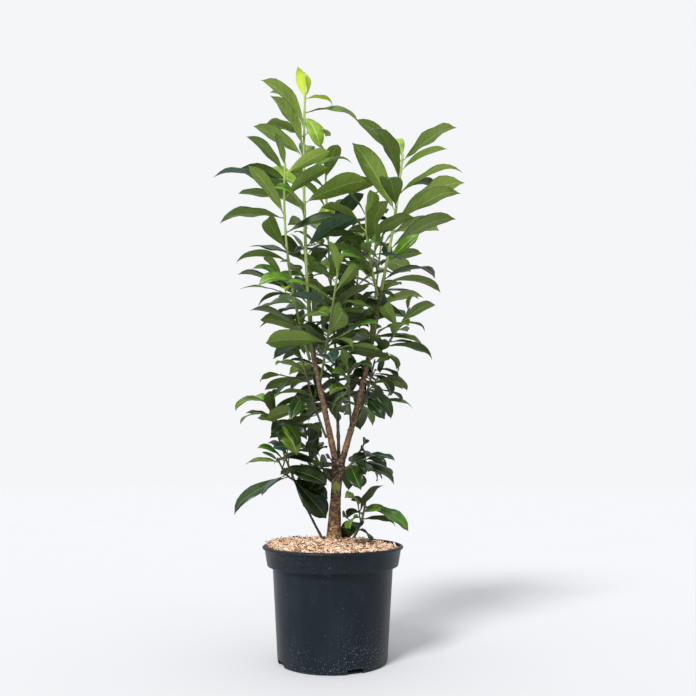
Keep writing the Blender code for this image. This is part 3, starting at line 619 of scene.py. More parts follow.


# How many of a hundred chips are of each kind; the pale and dark kinds are partly painted highlight and
# painted shade
CHIP_SHARES = {Chip.TAN: 32, Chip.PALE: 48, Chip.RUST: 13, Chip.DARK: 7}


@dataclass(frozen=True)
class BarkFinish:
    """Thin young bark: chestnut brown, rough, with pale pores and a grey film in patches.

    The pores are about 1 mm on the real shrub, too fine to show, so they are drawn four times as
    coarse.
    """

    name: str
    colour: str
    film: str
    pore: str
    pore_share: float
    roughness: float = 0.82
    patch: float = 0.008
    film_range: tuple[float, float] = (0.44, 0.60)
    pore_size: float = 0.0050
    pore_flatness: float = 1.4
    pore_range: tuple[float, float] = (0.53, 0.66)
    fibre: float = 0.0022
    fibre_stretch: float = 0.22
    fibre_depth: float = 0.0008

    def build(self) -> Material:
        """Builds the material."""
        material, shader, place = new_material(self.name)
        patches = add_node(material, "TexNoise",
                           {"Vector": place, "Scale": 1.0 / self.patch, "Detail": 4.0,
                            "Roughness": 0.65})
        filmed = add_node(material, "MapRange", {"Value": patches, **ends("From", self.film_range)})
        base = add_node(material, "Mix",
                        {0: filmed, MIX_A: self.colour, MIX_B: self.film}, data_type="RGBA")
        flat = add_node(material, "Mapping", {"Vector": place, "Scale": (1.0, 1.0, self.pore_flatness)})
        pores = add_node(material, "TexNoise",
                         {"Vector": flat, "Scale": 1.0 / self.pore_size, "Detail": 3.0})
        spots = add_node(material, "MapRange",
                         {"Value": pores, **ends("From", self.pore_range), "To Max": self.pore_share})
        colour = add_node(material, "Mix", {0: spots, MIX_A: base, MIX_B: self.pore}, data_type="RGBA")
        drawn = add_node(material, "Mapping", {"Vector": place, "Scale": (1.0, 1.0, self.fibre_stretch)})
        fibres = add_node(material, "TexNoise",
                          {"Vector": drawn, "Scale": 1.0 / self.fibre, "Detail": 4.0})
        bump = add_node(material, "Bump",
                        {"Height": fibres, "Strength": 0.55, "Distance": self.fibre_depth})
        set_inputs(shader, {"Base Color": colour, "Normal": bump, "Roughness": self.roughness})
        return material


class Bark(Enum):
    """The kinds of bark on the woody limbs, in the order of their material slots."""

    TRUNK = BarkFinish("trunk_bark", "#2c1d15", "#6a5140", "#b09272", 0.75)
    BOUGH = BarkFinish("bough_bark", "#5c4030", "#8a6c50", "#a58863", 0.6)
    OLIVE = BarkFinish("olive_bark", "#504a2c", "#6c6642", "#8a8356", 0.5)
    CALLUS = BarkFinish("callus", "#7c8540", "#989f55", "#5c5a30", 0.5)
    LOW_STEM = BarkFinish("low_stem_bark", "#35321f", "#514d36", "#7d7560", 0.5)
    FOOT = BarkFinish("foot_bark", "#5a3f2a", "#9a7850", "#dab68c", 0.8)


@dataclass(frozen=True)
class ShootFinish:
    """Smooth green rind of the season's shoots: paler towards the top, browner below."""

    low: str = "#4f5230"
    high: str = "#a3b765"
    low_level: float = 0.50
    high_level: float = 0.88
    roughness: float = 0.45
    mottle_scale: float = 140.0
    mottle_tint: tuple[float, float] = (0.80, 1.15)
    mottle_depth: float = 0.0005

    def build(self) -> Material:
        """Builds the material."""
        material, shader, place = new_material("green_rind")
        height = add_node(material, "SeparateXYZ", {0: place})
        level = add_node(material, "MapRange",
                         {"Value": height.outputs["Z"], "From Min": self.low_level,
                          "From Max": self.high_level})
        base = add_node(material, "Mix", {0: level, MIX_A: self.low, MIX_B: self.high}, data_type="RGBA")
        mottle = add_node(material, "TexNoise",
                          {"Vector": place, "Scale": self.mottle_scale, "Detail": 3.0})
        tint = add_node(material, "MapRange", {"Value": mottle, **ends("To", self.mottle_tint)})
        shaded = add_node(material, "HueSaturation", {"Color": base, "Value": tint})
        bump = add_node(material, "Bump",
                        {"Height": mottle, "Strength": 0.2, "Distance": self.mottle_depth})
        set_inputs(shader, {"Base Color": shaded, "Normal": bump, "Roughness": self.roughness})
        return material


@dataclass(frozen=True)
class Surface:
    """How one surface of a leaf is coloured, from which of the finish's colours and in what shares.

    A surface with no roughness of its own has that of the finish.
    """

    own: str
    other: str
    other_share: float
    vein_share: float = 0.0
    roughness: float | None = None


class Side(Enum):
    """The three surfaces of a leaf, in the order of their material slots."""

    UPPER = Surface("upper", "mottle", 0.9, vein_share=0.06)
    UNDER = Surface("under", "upper", 0.35, vein_share=0.20, roughness=0.62)
    RIB = Surface("rib", "under", 0.3, roughness=0.5)


@dataclass(frozen=True)
class LeafFinish:
    """Leathery evergreen leaf: waxed above, matt below, with a pale rib, and a thin band of painted
    shade along its margin.
    """

    name: str
    upper: str
    mottle: str
    under: str
    rib: str
    roughness: float = 0.36
    gloss: float = 0.40
    # Painted shade: the dark colour of a thin band along the leaf's edge, above and below
    margin: str = "#1a2c0e"
    margin_shade_share: float = 0.6
    margin_shade_range: tuple[float, float] = (0.44, 0.50)
    mottle_size: float = 0.022
    mottle_range: tuple[float, float] = (0.40, 0.62)
    vein_pairs: float = 7.0
    vein_slant: float = 0.42
    vein_from: float = 0.80
    grain_scale: float = 260.0
    grain_depth: float = 0.0006

    def build(self, side: Side) -> Material:
        """Builds the material of one surface.

        Args:
            side: Which surface of the leaf it covers.

        Returns:
            The material.
        """
        material, shader, place = new_material(f"{self.name}_{side.name.lower()}")
        surface = side.value
        own = getattr(self, surface.own)
        other = getattr(self, surface.other)
        cloud = add_node(material, "TexNoise",
                         {"Vector": place, "Scale": 1.0 / self.mottle_size, "Detail": 3.0})
        blend = add_node(material, "MapRange",
                         {"Value": cloud, **ends("From", self.mottle_range),
                          "To Max": surface.other_share})
        colour = add_node(material, "Mix", {0: blend, MIX_A: own, MIX_B: other}, data_type="RGBA")
        set_inputs(shader, {"IOR": 1.45, "Specular IOR Level": self.gloss,
                            "Roughness": surface.roughness or self.roughness})
        if side is Side.RIB:
            set_inputs(shader, {"Base Color": colour})
            return material
        veins, away = self.vein_pattern(material)
        pale = add_node(material, "MapRange",
                        {"Value": veins, "From Min": self.vein_from, "From Max": 1.0,
                         "To Max": surface.vein_share})
        veined = add_node(material, "Mix", {0: pale, MIX_A: colour, MIX_B: self.rib}, data_type="RGBA")
        # Painted shade: the blade darkens in a thin band towards its margin
        edge = add_node(material, "MapRange",
                        {"Value": away, **ends("From", self.margin_shade_range), "To Max": self.margin_shade_share})
        edge_shaded = add_node(material, "Mix", {0: edge, MIX_A: veined, MIX_B: self.margin}, data_type="RGBA")
        quilt = add_node(material, "Bump",
                         {"Height": veins, "Strength": 0.10, "Distance": self.grain_depth},
                         invert=side is Side.UPPER)
        fine = add_node(material, "TexNoise",
                        {"Vector": place, "Scale": self.grain_scale, "Detail": 2.0})
        bump = add_node(material, "Bump",
                        {"Height": fine, "Strength": 0.14, "Distance": self.grain_depth,
                         "Normal": quilt})
        set_inputs(shader, {"Base Color": edge_shaded, "Normal": bump})
        return material

    def vein_pattern(self, material: Material) -> tuple[Node, ...]:
        """Draws the side veins on the leaf's own UV map, slanting from rib to margin.

        Returns:
            A node that gives 1 on a vein and 0 half way between two, and one that rises from 0
            at the rib to a half at the margin.
        """
        over = add_node(material, "UVMap", uv_map="leaf")
        axes = add_node(material, "SeparateXYZ", {0: over})
        across = add_node(material, "Math", {0: axes.outputs["X"], 1: 0.5}, operation="SUBTRACT")
        away = add_node(material, "Math", {0: across}, operation="ABSOLUTE")
        slant = add_node(material, "Math",
                         {0: away, 1: -self.vein_slant, 2: axes.outputs["Y"]}, operation="MULTIPLY_ADD")
        turns = add_node(material, "Math",
                         {0: slant, 1: math.tau * self.vein_pairs}, operation="MULTIPLY")
        wave = add_node(material, "Math", {0: turns}, operation="COSINE")
        height = add_node(material, "MapRange", {"Value": wave, "From Min": -1.0, "From Max": 1.0})
        return height, away


class AgeAndLight(Enum):
    """Leaf colours from the bursting tip to the shaded foot: partly real ageing, partly painted light
    above and painted shade below.
    """

    # Tip leaves: a pale lime underside, partly their own colour and partly painted light that stands for
    # light shining through the thin young blade
    TIP = LeafFinish("tip_leaf", "#b0ca12", "#9ebe14", "#cbe034", "#d6e274", 0.42)
    YOUNG = LeafFinish("young_leaf", "#88ab22", "#618616", "#94ab4a", "#bfd07c", 0.40)
    BRIGHT = LeafFinish("bright_leaf", "#5f8a1a", "#3d650f", "#7f973f", "#a9bd62", 0.38)
    FULL = LeafFinish("full_leaf", "#446d18", "#294a0d", "#677c33", "#839a49", 0.36)
    OLIVE = LeafFinish("olive_leaf", "#54711b", "#344910", "#68803a", "#929f54", 0.40)
    # Painted shade in part: the deep and shade greens go mostly to the lower, shaded leaves
    DEEP = LeafFinish("deep_leaf", "#263f0f", "#1b300c", "#4a5b28", "#5d703b", 0.34)
    # Painted reflection: dark leaves coloured blue-green to stand for the sheen of the pale sky on their
    # wax
    BLUISH = LeafFinish("bluish_sheen_leaf", "#20402e", "#183226", "#456044", "#64805e", 0.28, 0.50)
    SHADE = LeafFinish("shade_leaf", "#1a290b", "#121e08", "#3b4924", "#47582e", 0.34)


# Where up the crown, from 0 to 1, each leaf colour is most common, and how common it is there; paler
# greens high up are partly painted light, darker greens low down partly painted shade
AGE_AND_LIGHT_LEVELS = {AgeAndLight.YOUNG: (1.05, 1.0), AgeAndLight.BRIGHT: (0.79, 1.15), AgeAndLight.FULL: (0.60, 0.8),
              AgeAndLight.OLIVE: (0.52, 0.9), AgeAndLight.DEEP: (0.31, 1.1), AgeAndLight.BLUISH: (0.48, 0.3),
              AgeAndLight.SHADE: (0.05, 0.9)}
AGE_AND_LIGHT_SPREAD = 0.27


# The plant as it grows

class Stem:
    """A tapering limb on a curve, whose foot is cut square to a given direction."""

    def __init__(self, foot: Vector, tip: Vector, bow: Vector, radii: tuple[float, float],
                 sides: int, joints: int, cut: Vector | None = None) -> None:
        """Notes the limb's curve, radii, number of sides and stretches, and its foot's cut."""
        self.foot = foot
        self.tip = tip
        self.bow = bow
        self.radii = radii
        self.sides = sides
        self.joints = joints
        self.cut = cut

    def point(self, part: float) -> Vector:
        """Returns the middle of the limb at a part of its length."""
        return arc_point(self.foot, self.tip, self.bow, part)

    def way(self, part: float) -> Vector:
        """Returns the direction of the limb at a part of its length."""
        if part <= 0.0 and self.cut is not None:
            return self.cut
        return arc_way(self.foot, self.tip, self.bow, part)

    def radius(self, part: float) -> float:
        """Returns the radius of the limb at a part of its length."""
        return self.radii[0] + (self.radii[1] - self.radii[0]) * part

    def parts(self) -> list[float]:
        """Returns where along the limb its sections stand."""
        return [step / self.joints for step in range(self.joints + 1)]

    def rings(self, swell: float = 0.0) -> list[list[Vector]]:
        """Returns the sections along the limb."""
        return [ring(self.point(part), self.way(part), self.radius(part) + swell, self.sides)
                for part in self.parts()]


class Trunk(Stem):
    """The trunk, whose radius follows its own profile."""

    def __init__(self) -> None:
        """Sets the trunk between soil and fork."""
        super().__init__(TRUNK_FOOT, TRUNK_FORK, TRUNK_BOW, (0.0, 0.0), TRUNK_SIDES, 0, UP.copy())

    def way(self, part: float) -> Vector:
        """Returns upright at both ends, so that foot and fork are cut level."""
        if part <= 0.0 or part >= 1.0:
            return UP.copy()
        return super().way(part)

    def radius(self, part: float) -> float:
        """Reads the trunk's profile."""
        for (low, low_radius), (high, high_radius) in zip(TRUNK_PROFILE, TRUNK_PROFILE[1:]):
            if part <= high:
                return low_radius + (high_radius - low_radius) * (part - low) / (high - low)
        return TRUNK_PROFILE[-1][1]

    def parts(self) -> list[float]:
        """Returns one place for each step of the profile."""
        return [part for part, _ in TRUNK_PROFILE]


class Leaf:
    """A folded, arching leaf, from its root on the stem's axis to its tip."""

    def __init__(self, root: Vector, turn: float, rise: float, length: float, arch: float,
                 roll: float, along: float = 1.0) -> None:
        """Notes the leaf's place and angles, and how far along its stem it grows."""
        out = Vector((math.cos(turn), math.sin(turn), 0.0))
        self.root = root
        self.length = length
        self.arch = max(arch, LEAST_ARCH)
        self.along = along
        self.way = out * math.cos(rise) + UP * math.sin(rise)
        spin = Quaternion(self.way, roll)
        self.face = spin @ (UP * math.cos(rise) - out * math.sin(rise))
        self.side = self.way.cross(self.face)

    def midrib(self, part: float) -> tuple[Vector, Vector, Vector]:
        """Returns the midrib's point at a part of the length, and the blade's face and way there."""
        bend = self.arch * part
        along = self.way * math.sin(bend) - self.face * (1.0 - math.cos(bend))
        face = self.face * math.cos(bend) + self.way * math.sin(bend)
        way = self.way * math.cos(bend) - self.face * math.sin(bend)
        return self.root + along * (self.length / self.arch), face, way

    def section(self, part: float, half_width: float, half_depth: float) -> list[Vector]:
        """Returns left edge, upper middle, right edge and lower middle of the blade."""
        centre, face, _ = self.midrib(part)
        edge = self.side * (half_width * math.cos(LEAF_FOLD))
        lift = face * (half_width * math.sin(LEAF_FOLD))
        return [centre - edge + lift, centre + face * half_depth, centre + edge + lift,
                centre - face * half_depth]

    def body(self, start: float = 0.0, margin: float = 0.0) -> BMesh:
        """Returns the plain leaf of the rule from a part of its length on, larger by the margin."""
        half_width = 0.5 * LEAF_SLIMNESS * self.length
        half_depth = 0.5 * LEAF_THICKNESS * self.length + margin
        rings = [self.section(start, PETIOLE_HALF, PETIOLE_HALF)]
        for part, share in LEAF_STATIONS:
            rings.append(self.section(part, half_width * share + margin, half_depth))
        return body_of_rings(rings, self.midrib(1.0)[0])


class ReachingLeaf(Leaf):
    """A leaf whose tip lies at a given place from its root, with its upper side leaning back."""

    def __init__(self, root: Vector, reach: Vector, arch: float, lean: float, along: float) -> None:
        """Works out the leaf's way, face and length from where its tip lies."""
        line = reach.normalized()
        up = Vector((0.0, math.sin(lean), math.cos(lean)))
        face = (up - line * up.dot(line)).normalized()
        half = 0.5 * arch
        self.root = root
        self.length = reach.length * half / math.sin(half)
        self.arch = arch
        self.along = along
        self.way = line * math.cos(half) + face * math.sin(half)
        self.face = face * math.cos(half) - line * math.sin(half)
        self.side = self.way.cross(self.face)


class Crown:
    """What already stands in the crown, for testing a new leaf or twig against it."""

    def __init__(self) -> None:
        """Starts with nothing."""
        self.things: list[tuple] = []

    def add(self, owner: str, bm: BMesh) -> None:
        """Notes a body of one limb or mass that later ones keep clear of, and frees it."""
        self.things.append((owner, box_of(bm), BVHTree.FromBMesh(bm)))
        bm.free()

    def add_bare_front(self, name: str, limb: Stem) -> None:
        """Notes sheets before a limb, where its leaves have been shed, so that it shows."""
        bm = bmesh.new()
        for side in (-BARE_HALF_WIDTH, 0.0, BARE_HALF_WIDTH):
            rows = []
            for step in range(BARE_STEPS + 1):
                near = limb.point(step / BARE_STEPS) + Vector((side, 0.0, 0.0))
                if near.z <= BARE_LEVEL:
                    rows.append((bm.verts.new(near), bm.verts.new(near + BARE_REACH)))
            for low, high in zip(rows, rows[1:]):
                bm.faces.new((low[0], low[1], high[1], high[0]))
        self.add("front of " + name, bm)

    def takes(self, owner: str, whole: BMesh, outer: BMesh) -> bool:
        """Adds a new body if it has room, and frees what it was given.

        Args:
            owner: The mass that it belongs to.
            whole: The whole body, which is tested against other masses.
            outer: Its outer part, which is tested against its own mass.

        Returns:
            Whether it was added.
        """
        box = box_of(whole)
        near = min(math.hypot(vert.co.x, vert.co.y) for vert in whole.verts)
        lowest = LOWEST_OVER_POT if near < LIP_RADIUS + LIP_CLEARANCE else LOWEST_BESIDE_POT
        room = box[0][2] >= lowest
        if room:
            whole_tree = BVHTree.FromBMesh(whole)
            outer_tree = BVHTree.FromBMesh(outer)
            for other_owner, other_box, other_tree in self.things:
                if boxes_meet(box, other_box):
                    tested = outer_tree if other_owner == owner else whole_tree
                    if tested.overlap(other_tree):
                        room = False
                        break
        if room:
            self.things.append((owner, box, whole_tree))
        whole.free()
        outer.free()
        return room

    def has_room(self, leaf: Leaf, owner: str) -> bool:
        """Says whether a leaf stands clear of the rest, which then holds it too."""
        return self.takes(owner, leaf.body(0.0, LEAF_MARGIN), leaf.body(PETIOLE_PART, LEAF_MARGIN))


@dataclass
class Growth:
    """What one mass has grown: its stem, twigs and leaves."""

    mass: Mass
    stem: Stem
    twigs: list[Stem]
    leaves: list[Leaf]


class Plant:
    """The whole plant, grown by the rule."""

    def __init__(self) -> None:
        """Grows the limbs, then the leaves that reach furthest, then the rest of each mass."""
        self.limbs: dict[str, Stem] = {"trunk": Trunk()}
        for bough in BOUGHS:
            self.limbs[bough.name] = self.limb_of_bough(bough)
        self.crown = Crown()
        for name, limb in self.limbs.items():
            self.crown.add(name, body_of_rings(limb.rings()))
        for name in BARE_LIMBS:
            self.crown.add_bare_front(name, self.limbs[name])
        stems = {mass.name: self.stem_of_mass(mass) for mass in MASSES}
        for name, stem in stems.items():
            self.crown.add(name, body_of_rings(stem.rings()))
        placed = {mass.name: self.reaching_leaves(mass, stems[mass.name]) for mass in MASSES}
        self.growths: list[Growth] = []
        for mass in MASSES:
            growth = Growth(mass, stems[mass.name], [], placed[mass.name])
            self.grow(growth)
            self.growths.append(growth)
        for growth in self.growths:
            self.grow_fine_twigs(growth)

    @staticmethod
    def limb_of_bough(bough: Bough) -> Stem:
        """Returns the limb of a bough, seated on the trunk's fork or on the soil."""
        level = TRUNK_FORK.z if bough.on == "trunk" else SOIL_LEVEL
        foot = Vector((*bough.foot, level + SEAT))
        return Stem(foot, Vector(bough.tip), Vector(bough.bow), bough.radius, BOUGH_SIDES,
                    BOUGH_JOINTS, UP.copy())

    def stem_of_mass(self, mass: Mass) -> Stem:
        """Returns the green stem of a mass, seated on the limb that carries it."""
        tip = Vector(mass.tip)
        bow = Vector(mass.bow)
        if mass.on == "soil":
            foot = SOIL_SHOOT_FOOT.copy()
            cut = UP.copy()
        elif mass.at >= 1.0:
            limb = self.limbs[mass.on]
            cut = limb.way(1.0)
            foot = limb.point(1.0) + cut * SEAT
        else:
            limb = self.limbs[mass.on]
            axis = limb.way(mass.at)
            middle = limb.point(mass.at)
            aim = tip + bow * 4.0 - middle
            out = (aim - axis * aim.dot(axis)).normalized()
            cut = arc_way(middle, tip, bow, 0.0)
            lean = clamp(cut.dot(out))
            reach = limb.radius(mass.at) + SEAT + mass.radius[0] * math.sqrt(1.0 - lean * lean)
            foot = middle + out * reach
        joints = max(LEAST_STEM_JOINTS, round((tip - foot).length / STEM_STRETCH))
        return Stem(foot, tip, bow, mass.radius, STEM_SIDES, joints, cut)

    def reaching_leaves(self, mass: Mass, stem: Stem) -> list[Leaf]:
        """Returns the leaves of a mass that reach furthest out of the crown."""
        leaves = []
        for part, reach, arch, lean in mass.reach:
            leaf = ReachingLeaf(stem.point(part), Vector(reach), math.radians(arch),
                                math.radians(lean), part)
            if self.crown.has_room(leaf, mass.name):
                leaves.append(leaf)
        return leaves

    def grow_leaf(self, rng: random.Random, mass: Mass, root: Vector, turn: float,
                  along: float) -> Leaf | None:
        """Tries seeded turns of one leaf until it has room.

        Args:
            rng: The mass's own random numbers.
            mass: The mass that it belongs to.
            root: Where it grows from.
            turn: The turn about the stem that the rule gives it.
            along: How far along its stem it grows.

        Returns:
            The leaf, or nothing where there is no room.
        """
        young = max(0.0, (along - YOUNG_FROM) / (1.0 - YOUNG_FROM))
        length = mix(mass.leaf, along) * rng.uniform(*LENGTH_VARIETY) * (1.0 - YOUNG_SHORTER * young)
        rise = math.radians(mix(mass.rise, along)) + rng.uniform(-RISE_JITTER, RISE_JITTER)
        rise += YOUNG_LIFT * young
        arch = math.radians(mix(mass.arch, along)) * rng.uniform(*ARCH_VARIETY)
        roll = rng.uniform(-ROLL_JITTER, ROLL_JITTER)
        return self.find_room(mass.name, root, turn, rise, length, arch, roll, along)

    def find_room(self, owner: str, root: Vector, turn: float, rise: float, length: float,
                  arch: float, roll: float, along: float) -> Leaf | None:
        """Swings and lifts a leaf until it has room.

        Args:
            owner: The mass that it belongs to.
            root: Where it grows from.
            turn: Its first turn about the stem.
            rise: Its first slope.
            length: Its length.
            arch: How far it bends over its length.
            roll: Its turn about its own way.
            along: How far along its stem it grows.

        Returns:
            The leaf, or nothing where there is no room.
        """
        for attempt in range(TRIES):
            swing = TRY_STEP * ((attempt + 1) // 2) * (1 if attempt % 2 else -1)
            leaf = Leaf(root, turn + swing, rise + TRY_LIFT * attempt, length, arch, roll, along)
            if self.crown.has_room(leaf, owner):
                return leaf
        return None

    @staticmethod
    def twig_of(stem: Stem, part: float, turn: float, rise: float, length: float,
                radii: tuple[float, float]) -> Stem:
        """Works out a side twig that sags a little.

        Args:
            stem: The stem that it grows from.
            part: How far along the stem it leaves it.
            turn: Its turn about the stem.
            rise: Its slope.
            length: Its length.
            radii: Its radius at its foot and at its tip.

        Returns:
            The twig.
        """
        flat = math.cos(rise)
        way = Vector((math.cos(turn) * flat, math.sin(turn) * flat, math.sin(rise)))
        foot = stem.point(part)
        bow = Vector((0.0, 0.0, -TWIG_SAG * length))
        return Stem(foot, foot + way * length, bow, radii, TWIG_SIDES, TWIG_JOINTS)

    def twig_has_room(self, owner: str, twig: Stem, margin: float) -> bool:
        """Says whether a twig stands clear of the rest, which then holds it too."""
        outer = Stem(twig.point(TWIG_CLEAR_PART), twig.tip, twig.bow, twig.radii, TWIG_SIDES, 1)
        return self.crown.takes(owner, body_of_rings(twig.rings(margin)),
                                body_of_rings(outer.rings(margin)))

    def grow_fine_twigs(self, growth: Growth) -> None:
        """Adds finer twigs with small leaves that fill the crown between the larger leaves."""
        mass = growth.mass
        rng = random.Random(mass.seed + FINE_SEED)
        for _ in range(FINE_TWIGS):
            part = rng.uniform(*FINE_PLACES)
            turn = rng.uniform(0.0, math.tau)
            rise = rng.uniform(*FINE_RISE)
            length = rng.uniform(*FINE_TWIG_LENGTH)
            twig = self.twig_of(growth.stem, part, turn, rise, length, FINE_TWIG_RADII)
            inside = (FINE_LEVELS[0] < twig.tip.z < FINE_LEVELS[1]
                      and math.hypot(twig.tip.x, twig.tip.y) < FINE_REACH)
            if not inside or not self.twig_has_room(mass.name, twig, 0.0):
                continue
            growth.twigs.append(twig)
            for number, place in enumerate(FINE_LEAF_PLACES):
                side = TWIG_LEAF_ANGLE if number % 2 else -TWIG_LEAF_ANGLE
                if place == FINE_LEAF_PLACES[-1]:
                    side = 0.0
                leaf = self.find_room(mass.name, twig.point(place), turn + side,
                                      rise + rng.uniform(*FINE_LEAF_LIFT), rng.uniform(*FINE_LEAF),
                                      rng.uniform(*FINE_ARCH), rng.uniform(-ROLL_JITTER, ROLL_JITTER),
                                      part)
                if leaf is not None:
                    growth.leaves.append(leaf)

    def grow_twig(self, rng: random.Random, growth: Growth, part: float, turn: float) -> None:
        """Adds a side twig with its leaves, or nothing where there is no room."""
        mass = growth.mass
        rise = math.radians(mix(mass.rise, part)) + TWIG_LIFT
        length = mass.twig_length * rng.uniform(*TWIG_VARIETY)
        twig = self.twig_of(growth.stem, part, turn, rise, length, TWIG_RADII)
        if not self.twig_has_room(mass.name, twig, LEAF_MARGIN):
            return
        growth.twigs.append(twig)
        for number, place in enumerate(TWIG_LEAF_PLACES):
            side = TWIG_LEAF_ANGLE if number % 2 else -TWIG_LEAF_ANGLE
            if place == TWIG_LEAF_PLACES[-1]:
                side = rng.uniform(-TWIG_END_JITTER, TWIG_END_JITTER)
            leaf = self.grow_leaf(rng, mass, twig.point(place), turn + side, part)
            if leaf is not None:
                growth.leaves.append(leaf)

    def grow(self, growth: Growth) -> None:
        """Grows the twigs and leaves of a mass on its stem by its seeded rule."""
        mass = growth.mass
        rng = random.Random(mass.seed)
        turn = rng.uniform(0.0, math.tau)
        for number in range(mass.twigs):
            part = mix((mass.first, LAST_TWIG), (number + 0.5) / mass.twigs)
            self.grow_twig(rng, growth, part, turn + number * TWIG_DIVERGENCE)
        for number in range(mass.leaves):
            along = number / max(1, mass.leaves - 1)
            part = mix((mass.first, LAST_LEAF), along ** LEAF_CROWDING)
            turn += DIVERGENCE + rng.uniform(-TURN_JITTER, TURN_JITTER)
            leaf = self.grow_leaf(rng, mass, growth.stem.point(part), turn, along)
            if leaf is not None:
                growth.leaves.append(leaf)


# Sub-assemblies

# Where along a blade its tip begins to curl down
CURL_FROM = 0.72


@dataclass(frozen=True)
class BladeForm:
    """How one blade departs from the plain leaf of the rule, mostly as shares of its size."""

    width: float
    fold: float
    bulge: float
    recurve: float
    wave: float
    waves: float
    phases: tuple[float, float]
    twist: float
    curl: float
    sickle: float

    @classmethod
    def draw(cls, rng: random.Random, breadth: float, calm: float) -> "BladeForm":
        """Draws a form by chance, with its width and its waves scaled by two factors."""
        return cls(width=rng.uniform(0.80, 1.04) * breadth, fold=math.radians(rng.uniform(8.0, 30.0)),
                   bulge=rng.uniform(0.08, 0.30), recurve=rng.uniform(0.06, 0.20),
                   wave=rng.uniform(0.03, 0.15) * calm, waves=rng.uniform(1.3, 2.6),
                   phases=(rng.uniform(0.0, math.tau), rng.uniform(0.0, math.tau)),
                   twist=math.radians(rng.uniform(-18.0, 18.0)), curl=rng.uniform(0.02, 0.14),
                   sickle=rng.uniform(-0.04, 0.04))

    def wave_at(self, along: float, across: float) -> float:
        """Returns how far the margin waves up, as a share of the half width."""
        phase = self.phases[0] if across < 0.0 else self.phases[1]
        fade = math.sin(math.pi * clamp(along))
        return self.wave * fade * math.sin(math.tau * self.waves * along + phase)

    def frame_at(self, leaf: "Leaf", part: float, along: float) -> tuple[Vector, Vector, Vector]:
        """Returns the blade's middle, its side and its face at a part of the leaf's length.

        Args:
            leaf: The leaf of the rule.
            part: The part of its length, stalk included.
            along: The part of the blade's own length.

        Returns:
            The middle of the blade there, and its sideways and upward directions.
        """
        centre, face, way = leaf.midrib(part)
        turn = Quaternion(way, self.twist * along)
        tail = clamp((along - CURL_FROM) / (1.0 - CURL_FROM))
        side = turn @ leaf.side
        face = turn @ face
        place = (centre + side * (self.sickle * leaf.length * along * along)
                 - face * (self.curl * leaf.length * tail * tail))
        return place, side, face


